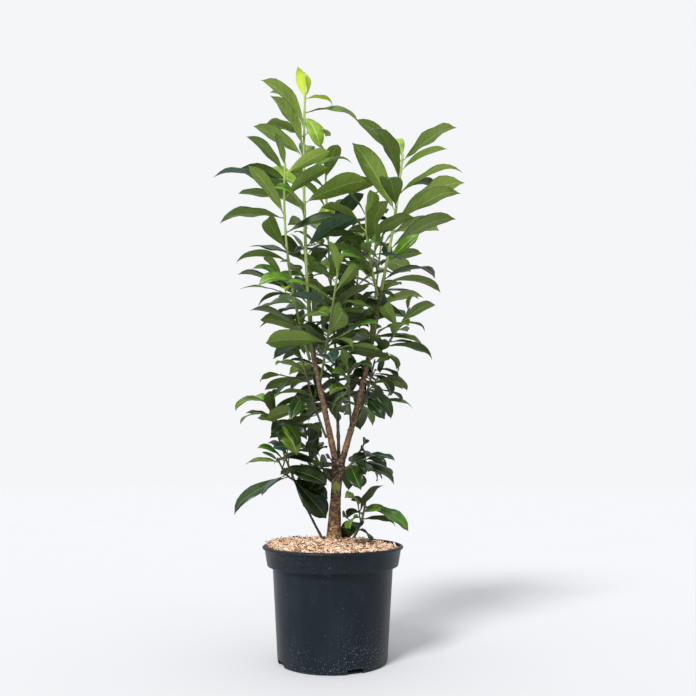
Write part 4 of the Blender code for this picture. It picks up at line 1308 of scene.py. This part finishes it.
@dataclass
class Foliage:
    """Leaves, petioles, green shoots and buds of every mass."""

    petiole_part: float = 0.085
    petiole_radius: float = 0.0013
    petiole_sides: int = 4
    petiole_rings: tuple[tuple[float, float], ...] = ((0.0, 1.25), (0.35, 1.0), (1.0, 0.9), (1.9, 0.45))
    petiole_sinks_from: float = 0.6
    blade_thickness: float = 0.0007
    rib_reach: float = 0.1
    rib_sink: float = 0.2
    fold_shares: tuple[float, float] = (1.25, 0.75)
    recurve_from: float = 0.86
    rows: tuple[float, ...] = (0.0, 0.06, 0.14, 0.23, 0.32, 0.42, 0.52, 0.62, 0.72, 0.81, 0.89, 0.95)
    upper: tuple[float, ...] = (-1.0, -0.86, -0.5, -0.05, 0.05, 0.5, 0.86, 1.0)
    under: tuple[float, ...] = (0.05, -0.05)
    widest: float = 1.30
    bluntness: float = 0.64
    tail_from: float = 0.88
    tail_slimness: float = 0.86
    least_width: float = 0.07
    low_width: float = 0.42
    low_calm: float = 0.6
    tip_level: float = 1.10
    tip_length: float = 0.085
    foot_level: float = 0.34
    shade_level: float = 0.70
    open_from: float = 0.085
    open_reach: float = 0.050
    open_level: float = 0.35
    bud_length: float = 0.0045
    bud_radii: tuple[float, float] = (0.0011, 0.0013)
    bud_sides: int = 5
    bud_place: float = 0.0022
    bud_lift: float = 1.3
    bud_belly: float = 0.4
    end_bud_length: float = 0.013
    end_bud_rings: tuple[tuple[float, float], ...] = ((0.18, 1.15), (0.45, 1.25), (0.75, 0.75))
    end_bud_full_radius: float = 0.002
    end_bud_least: float = 0.6
    shoot_sides: int = 8
    shoot_ring_spacing: float = 0.009
    shoot_least_rings: int = 6
    shoot_sunk: float = 0.002
    root_reach: float = 0.004
    node_swelling: float = 0.35
    node_length: float = 0.0035

    def build(self, plant: Plant) -> None:
        """Builds the leaves and the shoot of each mass."""
        rind = ShootFinish().build()
        coats = {tone: [tone.value.build(side) for side in Side] for tone in AgeAndLight}
        for growth in plant.growths:
            self.build_leaves(growth, coats)
            self.build_shoot(growth, rind)

    def half_width(self, part: float) -> float:
        """Returns the outline of a blade: its half width as a share of the widest."""
        full = math.sin(math.pi * part ** self.widest) ** self.bluntness
        tail = clamp((part - self.tail_from) / (1.0 - self.tail_from))
        return max(self.least_width, full * (1.0 - self.tail_slimness * tail))

    def age_and_light_of(self, leaf: Leaf, rng: random.Random) -> AgeAndLight:
        """Deals a colour to a leaf by its height, its reach out of the crown and chance: partly real
        ageing, partly painted light high up and painted shade low down.

        Args:
            leaf: The leaf.
            rng: The mass's own random numbers for looks.

        Returns:
            The kind of leaf colour, which sets the leaf's colours.
        """
        if leaf.root.z > self.tip_level and leaf.length < self.tip_length:
            return AgeAndLight.TIP
        level = clamp((leaf.root.z - self.foot_level) / (self.tip_level - self.foot_level))
        # Painted light: a leaf that stands out of the crown is dealt the paler colours of a higher one
        level = max(level, self.open_level * self.openness(leaf))
        weights = [share * math.exp(-((level - middle) / AGE_AND_LIGHT_SPREAD) ** 2)
                   for middle, share in AGE_AND_LIGHT_LEVELS.values()]
        return rng.choices(list(AGE_AND_LIGHT_LEVELS), weights)[0]

    def openness(self, leaf: Leaf) -> float:
        """Returns how far a leaf stands out into the light, from 0 near the stems to 1."""
        tip = leaf.midrib(1.0)[0]
        return clamp((math.hypot(tip.x, tip.y) - self.open_from) / self.open_reach)

    def build_leaves(self, growth: Growth, coats: dict[AgeAndLight, list[Material]]) -> None:
        """Builds the piece that holds every leaf of one mass."""
        rng = random.Random(growth.mass.seed + BLADE_SEED)
        dealt = [self.age_and_light_of(leaf, rng) for leaf in growth.leaves]
        tones = [tone for tone in AgeAndLight if tone in dealt]
        bm = bmesh.new()
        uv = bm.loops.layers.uv.new("leaf")
        for leaf, tone in zip(growth.leaves, dealt):
            first = len(Side) * tones.index(tone)
            self.add_petiole(bm, leaf, first + slot_of(Side.RIB))
            self.add_blade(bm, uv, leaf, rng, first)
        materials = [coat for tone in tones for coat in coats[tone]]
        add_piece(growth.mass.name + "_leaves", bm, materials, (growth.mass.name,))

    def add_petiole(self, bm: BMesh, leaf: Leaf, finish: int) -> None:
        """Adds the stalk of a leaf, which runs on under the foot of its midrib."""
        rings = []
        for part, share in self.petiole_rings:
            centre, face, way = leaf.midrib(self.petiole_part * part)
            sunk = centre - face * (0.5 * self.petiole_radius * max(0.0, part - self.petiole_sinks_from))
            rings.append(ring(sunk, way, self.petiole_radius * share, self.petiole_sides))
        finish_faces(sweep(bm, rings), finish)

    def add_blade(self, bm: BMesh, uv: BMLayerItem, leaf: Leaf,
                  rng: random.Random, first: int) -> None:
        """Adds the blade of a leaf, swept along its midrib with its fold, waves and curled tip.

        Args:
            bm: The mesh of the mass's leaves.
            uv: Its UV layer, across and along the blade.
            leaf: The leaf of the rule.
            rng: The mass's own random numbers for looks.
            first: The material slot of the leaf's upper face.
        """
        shade = 1.0 - clamp((leaf.root.z - self.foot_level) / (self.shade_level - self.foot_level))
        shade *= 1.0 - self.openness(leaf)
        form = BladeForm.draw(rng, 1.0 + self.low_width * shade, 1.0 - self.low_calm * shade)
        widest = 0.5 * LEAF_SLIMNESS * leaf.length * form.width
        rows = []
        for along in self.rows:
            place, side, face = form.frame_at(leaf, mix((self.petiole_part, 1.0), along), along)
            half = widest * self.half_width(along)
            folded = form.fold * mix(self.fold_shares, along)
            row = []
            for number, across in enumerate(self.upper + self.under):
                share = abs(across)
                lift = share * half * math.sin(folded) + form.bulge * half * share * (1.0 - share)
                lift += share * widest * form.wave_at(along, across)
                past = clamp((share - self.recurve_from) / (1.0 - self.recurve_from))
                lift -= form.recurve * half * past
                if number >= len(self.upper):
                    lift -= self.blade_thickness
                elif share < self.rib_reach:
                    lift -= self.rib_sink * self.blade_thickness
                row.append(place + side * (across * half * math.cos(folded)) + face * lift)
            rows.append(row)
        corners = sweep(bm, rows, form.frame_at(leaf, 1.0, 1.0)[0])
        across = self.upper + self.under
        count = len(across)
        numbers = {vert: number % count for number, vert in enumerate(corners[:-1])}
        places = {vert: (0.5 + 0.5 * across[number % count], self.rows[number // count])
                  for number, vert in enumerate(corners[:-1])}
        places[corners[-1]] = (0.5, 1.0)
        margins = (0, len(self.upper) - 1)
        for face in faces_at(corners):
            met = {numbers[vert] for vert in face.verts if vert in numbers}
            face.smooth = True
            face.material_index = first + slot_of(self.side_of(met))
            for loop in face.loops:
                loop[uv].uv = places[loop.vert]
                shared = {numbers.get(vert) for vert in loop.edge.verts} - {None}
                if len(shared) == 1 and shared.pop() in margins:
                    loop.edge.smooth = False

    def side_of(self, met: set[int]) -> Side:
        """Returns which surface a face of a blade is on, from the numbers of its corners."""
        under = {number for number in met if number >= len(self.upper)}
        middle = {len(self.upper) // 2 - 1, len(self.upper) // 2}
        if met <= middle or met == under:
            return Side.RIB
        return Side.UNDER if under else Side.UPPER

    def build_shoot(self, growth: Growth, rind: Material) -> None:
        """Builds the piece that holds the green stem, side twigs and buds of one mass."""
        bm = bmesh.new()
        self.add_stem(bm, growth.stem, growth.leaves)
        for twig in growth.twigs:
            self.add_stem(bm, twig, growth.leaves)
        for leaf in growth.leaves:
            self.add_bud(bm, leaf)
        add_piece(growth.mass.name + "_shoot", bm, [rind])

    def add_stem(self, bm: BMesh, stem: Stem, leaves: list[Leaf]) -> None:
        """Adds one stem, swollen a little where each leaf leaves it, with a bud at its end."""
        length = (stem.tip - stem.foot).length
        places = []
        for leaf in leaves:
            part = clamp((leaf.root - stem.foot).dot(stem.tip - stem.foot) / length ** 2)
            if (stem.point(part) - leaf.root).length < self.root_reach:
                places.append(part)
        steps = max(self.shoot_least_rings, round(length / self.shoot_ring_spacing))
        rings = []
        for step in range(steps + 1):
            part = step / steps
            nearest = min((abs(part - place) * length for place in places), default=1.0)
            swell = self.node_swelling * math.exp(-(nearest / self.node_length) ** 2)
            radius = stem.radius(part) * (1.0 + swell)
            middle = stem.point(part)
            if step == 0:
                middle -= stem.way(0.0) * self.shoot_sunk
            rings.append(ring(middle, stem.way(part), radius, self.shoot_sides))
        tip_way = stem.way(1.0)
        bud = self.end_bud_length * clamp(stem.radii[1] / self.end_bud_full_radius, self.end_bud_least)
        for part, share in self.end_bud_rings:
            rings.append(ring(stem.tip + tip_way * bud * part, tip_way, stem.radii[1] * share,
                              self.shoot_sides))
        finish_faces(sweep(bm, rings, stem.tip + tip_way * bud))

    def add_bud(self, bm: BMesh, leaf: Leaf) -> None:
        """Adds the small bud that sits between a leaf's stalk and the stem."""
        lean = (leaf.way + UP * self.bud_lift).normalized()
        base = leaf.root + leaf.way * self.bud_place
        belly = base + lean * self.bud_belly * self.bud_length
        rings = [ring(base, lean, self.bud_radii[0], self.bud_sides),
                 ring(belly, lean, self.bud_radii[1], self.bud_sides)]
        finish_faces(sweep(bm, rings, base + lean * self.bud_length))


@dataclass
class WoodyLimbs:
    """Trunk, boughs and the low left stem in one skin of bark with true relief."""

    voxel: float = 0.0009
    smoothings: int = 3
    trunk_sides: int = 24
    trunk_rings: int = 40
    bough_sides: int = 16
    bough_rings: int = 60
    foot_sunk: float = 0.002
    fork_depth: float = 0.030
    fork_rings: int = 6
    fork_gather: tuple[float, float] = (0.25, 1.0)
    fork_slimness: tuple[float, float] = (0.7, 1.0)
    flare_roots: int = 5
    flare_turn: float = 0.6
    flare_height: float = 0.030
    flare_depth: float = 0.0022
    fissure_depth: float = 0.0009
    fissure_scale: tuple[float, float, float] = (520.0, 520.0, 90.0)
    lump_depth: float = 0.0007
    lump_scale: float = 70.0
    pore_depth: float = 0.00035
    pore_scale: tuple[float, float, float] = (420.0, 420.0, 800.0)
    pore_from: float = 0.25
    pore_steepness: float = 3.0
    scar_from: float = 0.40
    scar_spacing: float = 0.033
    scar_depth: float = 0.0007
    scar_width: float = 0.0016
    scar_tilt: float = 0.011
    callus_axis: float = 0.007
    callus_level: float = 0.334
    callus_turn: float = math.radians(-100.0)
    callus_half_height: float = 0.0135
    callus_half_turn: float = math.radians(56.0)
    callus_depth: float = 0.0016
    callus_raggedness: float = 0.5
    callus_scale: float = 200.0
    callus_steepness: float = 4.0
    callus_colour_from: float = 0.3
    foot_reach: float = 0.0195
    foot_level: float = 0.315
    bough_level: float = 0.40
    olive_level: float = 0.60
    raggedness: float = 0.02
    ragged_scale: float = 90.0
    low_stem_side: float = -0.028
    low_stem_top: float = 0.46
    low_wood_top: float = 0.36
    back_from: float = 0.0078
    back_above_fork: float = 0.006

    def build(self, plant: Plant) -> Object:
        """Builds the bark piece that stands for the trunk and all boughs."""
        bm = bmesh.new()
        trunk = plant.limbs["trunk"]
        sweep(bm, self.round_rings(trunk, self.trunk_sides, self.trunk_rings))
        for bough in BOUGHS:
            limb = plant.limbs[bough.name]
            rings = self.round_rings(limb, self.bough_sides, self.bough_rings)
            if bough.on == "trunk":
                rings = self.rooted(limb, trunk) + rings
            sweep(bm, rings)
        body = object_of("bark_rough", bm)
        remesh = body.modifiers.new("skin", "REMESH")
        remesh.mode = "VOXEL"
        remesh.voxel_size = self.voxel
        skin = evaluated_mesh(body)
        remove_object(body)
        bm = bmesh.new()
        bm.from_mesh(skin)
        bpy.data.meshes.remove(skin)
        for _ in range(self.smoothings):
            bmesh.ops.smooth_vert(bm, verts=bm.verts, factor=0.5, use_axis_x=True, use_axis_y=True,
                                  use_axis_z=True)
        self.relieve(bm)
        self.deal(bm)
        finishes = [kind.value.build() for kind in Bark]
        nodes = ("trunk",) + tuple(bough.name for bough in BOUGHS)
        return add_piece("bark", bm, finishes, nodes)

    def round_rings(self, limb: Stem, sides: int, steps: int) -> list[list[Vector]]:
        """Returns fine sections of a limb, with its foot sunk a little into what it stands on."""
        rings = [ring(limb.point(0.0) - UP * self.foot_sunk, UP, limb.radius(0.0), sides)]
        for step in range(steps + 1):
            part = step / steps
            rings.append(ring(limb.point(part), limb.way(part), limb.radius(part), sides))
        return rings

    def rooted(self, limb: Stem, trunk: Stem) -> list[list[Vector]]:
        """Returns sections that carry a bough's foot down into the swelling of the fork."""
        rings = []
        for step in range(self.fork_rings):
            part = step / self.fork_rings
            level = 1.0 - (1.0 - part) * self.fork_depth / (trunk.tip - trunk.foot).length
            inside = trunk.point(level).lerp(limb.foot, mix(self.fork_gather, part))
            inside.z = limb.foot.z - (1.0 - part) * self.fork_depth
            radius = limb.radius(0.0) * mix(self.fork_slimness, part)
            rings.append(ring(inside, UP, radius, self.bough_sides))
        return rings

    def near_trunk(self, place: Vector) -> bool:
        """Says whether a place is on the trunk and not on a stem beside it."""
        return math.hypot(place.x - TRUNK_FOOT.x, place.y - TRUNK_FOOT.y) < self.foot_reach

    @staticmethod
    def grain(place: Vector, scale: tuple[float, float, float]) -> float:
        """Returns noise at a place, with a scale of its own along each axis."""
        return noise.noise(Vector([part * factor for part, factor in zip(place, scale)]))

    def relieve(self, bm: BMesh) -> None:
        """Moves each point of the bark along its normal: roots, lumps, fissures, pores and scars."""
        bm.normal_update()
        moves = []
        for vert in bm.verts:
            place = vert.co
            above = place.z - SOIL_LEVEL
            turn = math.atan2(place.y - TRUNK_FOOT.y, place.x - TRUNK_FOOT.x)
            near_trunk = self.near_trunk(place)
            move = self.lump_depth * noise.noise(place * self.lump_scale)
            move -= self.fissure_depth * max(0.0, self.grain(place, self.fissure_scale))
            pore = self.grain(place, self.pore_scale) - self.pore_from
            move += self.pore_depth * clamp(pore * self.pore_steepness)
            if place.z > self.scar_from:
                level = (place.z + self.scar_tilt * math.sin(turn)) / self.scar_spacing
                off_scar = abs(level % 1.0 - 0.5) * self.scar_spacing
                move += self.scar_depth * math.exp(-(off_scar / self.scar_width) ** 2)
            if near_trunk and above < self.flare_height:
                fade = 1.0 - above / self.flare_height
                root = 0.5 + 0.5 * math.cos(self.flare_roots * turn + self.flare_turn)
                move += self.flare_depth * fade * fade * root
            if near_trunk:
                move += self.callus_depth * self.callus_share(place)
            moves.append(vert.normal * move)
        for vert, move in zip(bm.verts, moves):
            vert.co += move

    def callus_share(self, place: Vector) -> float:
        """Returns how far a point belongs to the healed wound on the trunk's front."""
        turn = math.atan2(place.y, place.x - self.callus_axis)
        off_turn = (turn - self.callus_turn + math.pi) % math.tau - math.pi
        edge = self.callus_raggedness * noise.noise(place * self.callus_scale)
        reach = math.hypot(off_turn / self.callus_half_turn,
                           (place.z - self.callus_level) / self.callus_half_height) + edge
        return clamp((1.0 - reach) * self.callus_steepness)

    def deal(self, bm: BMesh) -> None:
        """Deals the kinds of bark to the faces by place."""
        for face in bm.faces:
            face.smooth = True
            face.material_index = slot_of(self.bark_at(face.calc_center_median()))

    def bark_at(self, place: Vector) -> Bark:
        """Returns the kind of bark at a place. The back bough has that of the low stem."""
        near_trunk = self.near_trunk(place)
        low_stem = place.x < self.low_stem_side and place.z < self.low_stem_top
        low_wood = not near_trunk and place.z < self.low_wood_top
        back = place.z > TRUNK_FORK.z + self.back_above_fork and place.y > self.back_from
        level = place.z + self.raggedness * noise.noise(place * self.ragged_scale)
        if near_trunk and self.callus_share(place) > self.callus_colour_from:
            return Bark.CALLUS
        if low_stem or low_wood or back:
            return Bark.LOW_STEM
        if level < self.foot_level:
            return Bark.FOOT
        if level > self.olive_level:
            return Bark.OLIVE
        return Bark.BOUGH if level > self.bough_level else Bark.TRUNK


@dataclass
class NurseryPot:
    """The moulded pot, turned from its profile with a rolled lip, and notched at its foot."""

    height: float = 0.220
    wall: float = 0.0022
    floor: float = 0.003
    base_radius: float = 0.1075
    neck_radius: float = 0.119
    band_foot_radius: float = 0.130
    band_top_radius: float = 0.1355
    lip_radius: float = LIP_RADIUS
    band_foot: float = 0.181
    lip_foot: float = 0.2135
    foot_round: float = 0.0035
    foot_inset: float = 0.004
    wall_from: float = 0.006
    wall_steps: int = 4
    ledge_cove: float = 0.004
    band_round: float = 0.0016
    lip_round: float = 0.0026
    round_steps: int = 4
    lip_middle: float = 0.0028
    crease: float = 0.0006
    corner: float = 0.0008
    mouth_inset: float = 0.0004
    mouth_depth: float = 0.003
    notches: int = 4
    notch_depth: float = 0.016
    notch_width: float = 0.032
    notch_height: float = 0.009
    notch_first: float = math.radians(-66.0)
    steps: int = 144
    sharp_from: float = math.radians(38.0)

    def profile(self) -> list[tuple[float, float]]:
        """Returns radius and height along the wall, from the floor's middle out, up and down inside."""
        foot = self.base_radius - self.foot_inset
        points = [(0.0, 0.0), (foot, 0.0)]
        points += self.bend(foot, self.foot_round, self.foot_round, -90.0, 0.0, self.round_steps)
        for step in range(self.wall_steps + 1):
            part = step / self.wall_steps
            points.append((mix((self.base_radius, self.neck_radius), part),
                           mix((self.wall_from, self.band_foot - self.ledge_cove), part)))
        points += [(self.neck_radius + self.crease, self.band_foot - 2.0 * self.crease),
                   (self.neck_radius + 4.0 * self.crease, self.band_foot)]
        points += self.bend(self.band_foot_radius - self.band_round, self.band_foot + self.band_round,
                            self.band_round, -90.0, 0.0, self.round_steps)
        points += [(mix((self.band_foot_radius, self.band_top_radius), 0.5),
                    mix((self.band_foot, self.lip_foot), 0.5)),
                   (self.band_top_radius, self.lip_foot - self.corner),
                   (self.band_top_radius + self.crease, self.lip_foot)]
        points += self.bend(self.lip_radius - self.lip_round, self.lip_foot + self.lip_middle,
                            self.lip_round, -80.0, 90.0, 2 * self.round_steps)
        inner = self.band_top_radius - self.wall
        ledge = self.band_foot + self.wall
        return points + [(inner + self.band_round, self.height),
                         (inner + self.mouth_inset, self.height - self.corner),
                         (inner, self.height - self.mouth_depth),
                         (self.band_foot_radius - self.wall, ledge + self.corner),
                         (self.neck_radius - self.wall, ledge),
                         (self.base_radius - self.wall, self.floor), (0.0, self.floor)]

    @staticmethod
    def bend(radius: float, height: float, size: float, start: float, end: float,
             steps: int) -> list[tuple[float, float]]:
        """Returns a rounded corner about a centre, between two angles in degrees."""
        angles = [math.radians(mix((start, end), step / steps)) for step in range(steps + 1)]
        return [(radius + size * math.cos(angle), height + size * math.sin(angle)) for angle in angles]

    def build(self) -> Object:
        """Builds the pot."""
        bm = bmesh.new()
        turn_profile(bm, self.profile(), self.steps)
        pot = add_piece("nursery_pot", bm, [PolypropyleneFinish().build()], ("pot",))
        self.cut_notches(pot)
        pot.data.shade_smooth()
        pot.data.set_sharp_from_angle(angle=self.sharp_from)
        return pot

    def cut_notches(self, pot: Object) -> None:
        """Cuts the drain notches through the corner of wall and floor."""
        bm = bmesh.new()
        for number in range(self.notches):
            made = bmesh.ops.create_cube(bm, size=1.0)["verts"]
            bmesh.ops.scale(bm, vec=(self.notch_depth, self.notch_width, 2.0 * self.notch_height),
                            verts=made)
            bmesh.ops.translate(bm, vec=(self.base_radius, 0.0, 0.0), verts=made)
            spin = Matrix.Rotation(self.notch_first + number * math.tau / self.notches, 3, "Z")
            bmesh.ops.rotate(bm, cent=(0.0, 0.0, 0.0), matrix=spin, verts=made)
        cutter = object_of("notches", bm)
        boolean = pot.modifiers.new("notches", "BOOLEAN")
        boolean.object = cutter
        boolean.operation = "DIFFERENCE"
        boolean.solver = "EXACT"
        cut = evaluated_mesh(pot)
        pot.modifiers.remove(boolean)
        old = pot.data
        pot.data = cut
        bpy.data.meshes.remove(old)
        remove_object(cutter)


@dataclass
class ChipMulch:
    """The filling of the pot: a lumpy bed, and some thousands of split chips lying on it."""

    bed_radius: float = 0.1330
    pad_radius: float = 0.046
    slope: float = 1.6
    heap_turn: float = math.radians(175.0)
    heap_rise: float = 0.008
    dip_turn: float = math.radians(80.0)
    dip_depth: float = 0.012
    dip_from: float = 0.020
    bump_height: float = 0.0018
    bump_scale: float = 60.0
    bump_from: float = 0.05
    bed_foot: float = 0.0115
    bed_wall: tuple[tuple[float, float], ...] = ((0.1045, 0.0115), (0.1165, 0.1825), (0.1275, 0.1845))
    bed_rings: int = 14
    bed_steps: int = 72
    bed_depth: float = 0.002
    chips: int = 7000
    batch: int = 125
    rim_clearance: float = 0.004
    trunk_clearance: float = 0.018
    length: tuple[float, float] = (0.0040, 0.0160)
    short_bias: float = 1.5
    slimness: tuple[float, float] = (0.12, 0.32)
    thickness: tuple[float, float] = (0.0008, 0.0020)
    taper: tuple[float, float] = (0.55, 1.0)
    end_taper: tuple[float, float] = (0.85, 1.0)
    tilt: float = 0.30
    roll: float = 0.35
    lift: tuple[float, float] = (-0.0016, 0.0018)
    crumbs: int = 36
    crumb_place: tuple[float, float] = (-0.080, 0.092)
    crumb_spread: float = 0.007
    crumb_depth: float = 0.6
    crumb_heap: float = 0.015
    seed: int = 23

    def level(self, x: float, y: float) -> float:
        """Returns the height of the bed at a place."""
        distance = math.hypot(x, y)
        outwards = clamp((distance - self.pad_radius) / (self.bed_radius - self.pad_radius))
        height = SOIL_LEVEL + (SOIL_EDGE_LEVEL - SOIL_LEVEL) * outwards ** self.slope
        towards_heap = math.cos(math.atan2(y, x) - self.heap_turn)
        height += self.heap_rise * outwards * max(0.0, towards_heap) ** 3
        towards_dip = math.cos(math.atan2(y, x) - self.dip_turn)
        beyond = clamp((distance - self.dip_from) / (self.bed_radius - self.dip_from))
        height -= self.dip_depth * beyond * math.sqrt(max(0.0, towards_dip))
        bump = noise.noise(Vector((x * self.bump_scale, y * self.bump_scale, 0.0)))
        return height + self.bump_height * bump * clamp(distance / self.bump_from)

    def build(self) -> None:
        """Builds the bed and the chips on it."""
        self.build_bed()
        self.build_chips()

    def build_bed(self) -> None:
        """Builds the dark bed under the chips, down to the pot's floor."""
        bm = bmesh.new()
        profile = [(0.0, self.bed_foot), *self.bed_wall,
                   (self.bed_radius, SOIL_EDGE_LEVEL - self.bed_depth)]
        profile += [(self.bed_radius * (1.0 - step / self.bed_rings), SOIL_EDGE_LEVEL)
                    for step in range(self.bed_rings + 1)]
        turn_profile(bm, profile, self.bed_steps)
        for vert in bm.verts:
            if vert.co.z > SOIL_EDGE_LEVEL - 0.5 * self.bed_depth:
                vert.co.z = self.level(vert.co.x, vert.co.y) - self.bed_depth
        finish_faces(list(bm.verts))
        bed = ChipFinish("damp_compost", "#5a3a22", "#8a6238").build()
        add_piece("mulch_bed", bm, [bed], ("chip_mulch",))

    def build_chips(self) -> None:
        """Scatters the chips: slivers of wood, mostly flat, each a tapered block."""
        rng = random.Random(self.seed)
        layer = bmesh.new()
        for _ in range(self.chips // self.batch):
            bm = bmesh.new()
            for _ in range(self.batch):
                distance = (self.bed_radius - self.rim_clearance) * math.sqrt(rng.random())
                turn = rng.uniform(0.0, math.tau)
                x, y = distance * math.cos(turn), distance * math.sin(turn)
                if math.hypot(x - TRUNK_FOOT.x, y - TRUNK_FOOT.y) > self.trunk_clearance:
                    kind = rng.choices(list(CHIP_SHARES), CHIP_SHARES.values())[0]
                    self.add_chip(bm, rng, x, y, kind)
            handful = bpy.data.meshes.new("handful")
            bm.to_mesh(handful)
            bm.free()
            layer.from_mesh(handful)
            bpy.data.meshes.remove(handful)
        for _ in range(self.crumbs):
            aside = rng.gauss(0.0, self.crumb_spread)
            behind = rng.gauss(0.0, self.crumb_depth * self.crumb_spread)
            heap = self.crumb_heap * math.exp(-(aside / self.crumb_spread) ** 2)
            x, y = self.crumb_place[0] + aside, self.crumb_place[1] + behind
            self.add_chip(layer, rng, x, y, Chip.MOSS, heap)
        add_piece("bark_chips", layer, [kind.value.build() for kind in Chip])

    def add_chip(self, bm: BMesh, rng: random.Random, x: float, y: float,
                 kind: Chip, heap: float = 0.0) -> None:
        """Adds one chip of a kind at a place on the bed, up to the height of a heap above it."""
        long = mix(self.length, rng.random() ** self.short_bias)
        wide = long * rng.uniform(*self.slimness)
        thick = rng.uniform(*self.thickness)
        made = bmesh.ops.create_cube(bm, size=1.0)["verts"]
        for vert in made:
            taper = rng.uniform(*self.taper)
            vert.co = Vector((vert.co.x * long * rng.uniform(*self.end_taper),
                              vert.co.y * wide * taper, vert.co.z * thick))
        tilt = rng.gauss(0.0, self.tilt)
        spin = (Matrix.Rotation(rng.uniform(0.0, math.tau), 3, "Z") @ Matrix.Rotation(tilt, 3, "Y")
                @ Matrix.Rotation(rng.gauss(0.0, self.roll), 3, "X"))
        bmesh.ops.rotate(bm, cent=(0.0, 0.0, 0.0), matrix=spin, verts=made)
        lift = 0.5 * long * abs(math.sin(tilt)) + rng.uniform(self.lift[0], self.lift[1] + heap)
        place = Vector((x, y, self.level(x, y) + lift))
        bmesh.ops.translate(bm, vec=place, verts=made)
        for face in faces_at(made):
            face.material_index = slot_of(kind)


@dataclass
class Studio:
    """Pale floor, soft lights and the camera at the photograph's viewing angle."""

    camera_place: tuple[float, float, float] = (0.030, -1.530, 0.393)
    camera_tilt: float = math.radians(8.3)
    lens: float = 38.6
    sensor: float = 36.0
    floor_radius: float = 9.0
    floor_sides: int = 96
    floor_colour: str = "#cdced0"
    floor_tint: tuple[float, float] = (0.985, 1.01)
    sky: str = "#f5f6f8"
    sky_levels: tuple[float, float] = (-0.2, 0.9)
    backdrop: float = 1.0
    sky_strength: tuple[float, float] = (0.26, 1.15)
    sun_from: tuple[float, float, float] = (-0.55, -1.0, 1.1)
    sun_power: float = 2.9
    sun_softness: float = math.radians(16.0)

    def build(self) -> None:
        """Builds the floor, the lights, the surroundings and the camera."""
        self.build_floor()
        self.build_sky()
        self.add_sun()
        camera = link_object("camera", bpy.data.cameras.new("camera"))
        camera.data.lens = self.lens
        camera.data.sensor_width = self.sensor
        camera.data.dof.use_dof = False
        camera.location = self.camera_place
        camera.rotation_euler = (math.radians(90.0) + self.camera_tilt, 0.0, 0.0)
        bpy.context.scene.camera = camera
        bpy.context.scene.view_settings.view_transform = "Standard"

    def build_floor(self) -> None:
        """Builds a wide pale floor."""
        bm = bmesh.new()
        bmesh.ops.create_circle(bm, cap_ends=True, segments=self.floor_sides, radius=self.floor_radius)
        floor = object_of("studio_floor", bm)
        material, shader, place = new_material("studio_floor")
        cloud = add_node(material, "TexNoise", {"Vector": place, "Scale": 3.0})
        tint = add_node(material, "MapRange", {"Value": cloud, **ends("To", self.floor_tint)})
        shade = add_node(material, "HueSaturation", {"Color": self.floor_colour, "Value": tint})
        set_inputs(shader, {"Base Color": shade, "Roughness": 0.9})
        floor.data.materials.append(material)

    def build_sky(self) -> None:
        """Sets the soft light that surrounds the plant, brightest from above, and a plain backdrop."""
        world = bpy.data.worlds.new("studio")
        world.use_nodes = True
        way = add_node(world, "TexCoord").outputs["Generated"]
        height = add_node(world, "SeparateXYZ", {0: way})
        light = add_node(world, "MapRange",
                         {"Value": height.outputs["Z"], **ends("From", self.sky_levels),
                          **ends("To", self.sky_strength)})
        seen = add_node(world, "LightPath").outputs["Is Camera Ray"]
        strength = add_node(world, "Mix", {0: seen, 2: light, 3: self.backdrop}, data_type="FLOAT")
        set_inputs(world.node_tree.nodes["Background"], {"Color": self.sky, "Strength": strength})
        bpy.context.scene.world = world

    def add_sun(self) -> None:
        """Adds the broad soft light from above, the left and the front."""
        data = bpy.data.lights.new("soft_daylight", "SUN")
        data.energy = self.sun_power
        data.angle = self.sun_softness
        lamp = link_object("soft_daylight", data)
        lamp.rotation_euler = Vector(self.sun_from).to_track_quat("Z", "Y").to_euler()


def main() -> None:
    """Builds the studio and every sub-assembly of the potted plant."""
    logging.basicConfig(level=logging.INFO, format="%(name)s %(message)s")
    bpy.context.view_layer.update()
    Studio().build()
    NurseryPot().build()
    ChipMulch().build()
    plant = Plant()
    WoodyLimbs().build(plant)
    Foliage().build(plant)


if __name__ == "__main__":
    main()
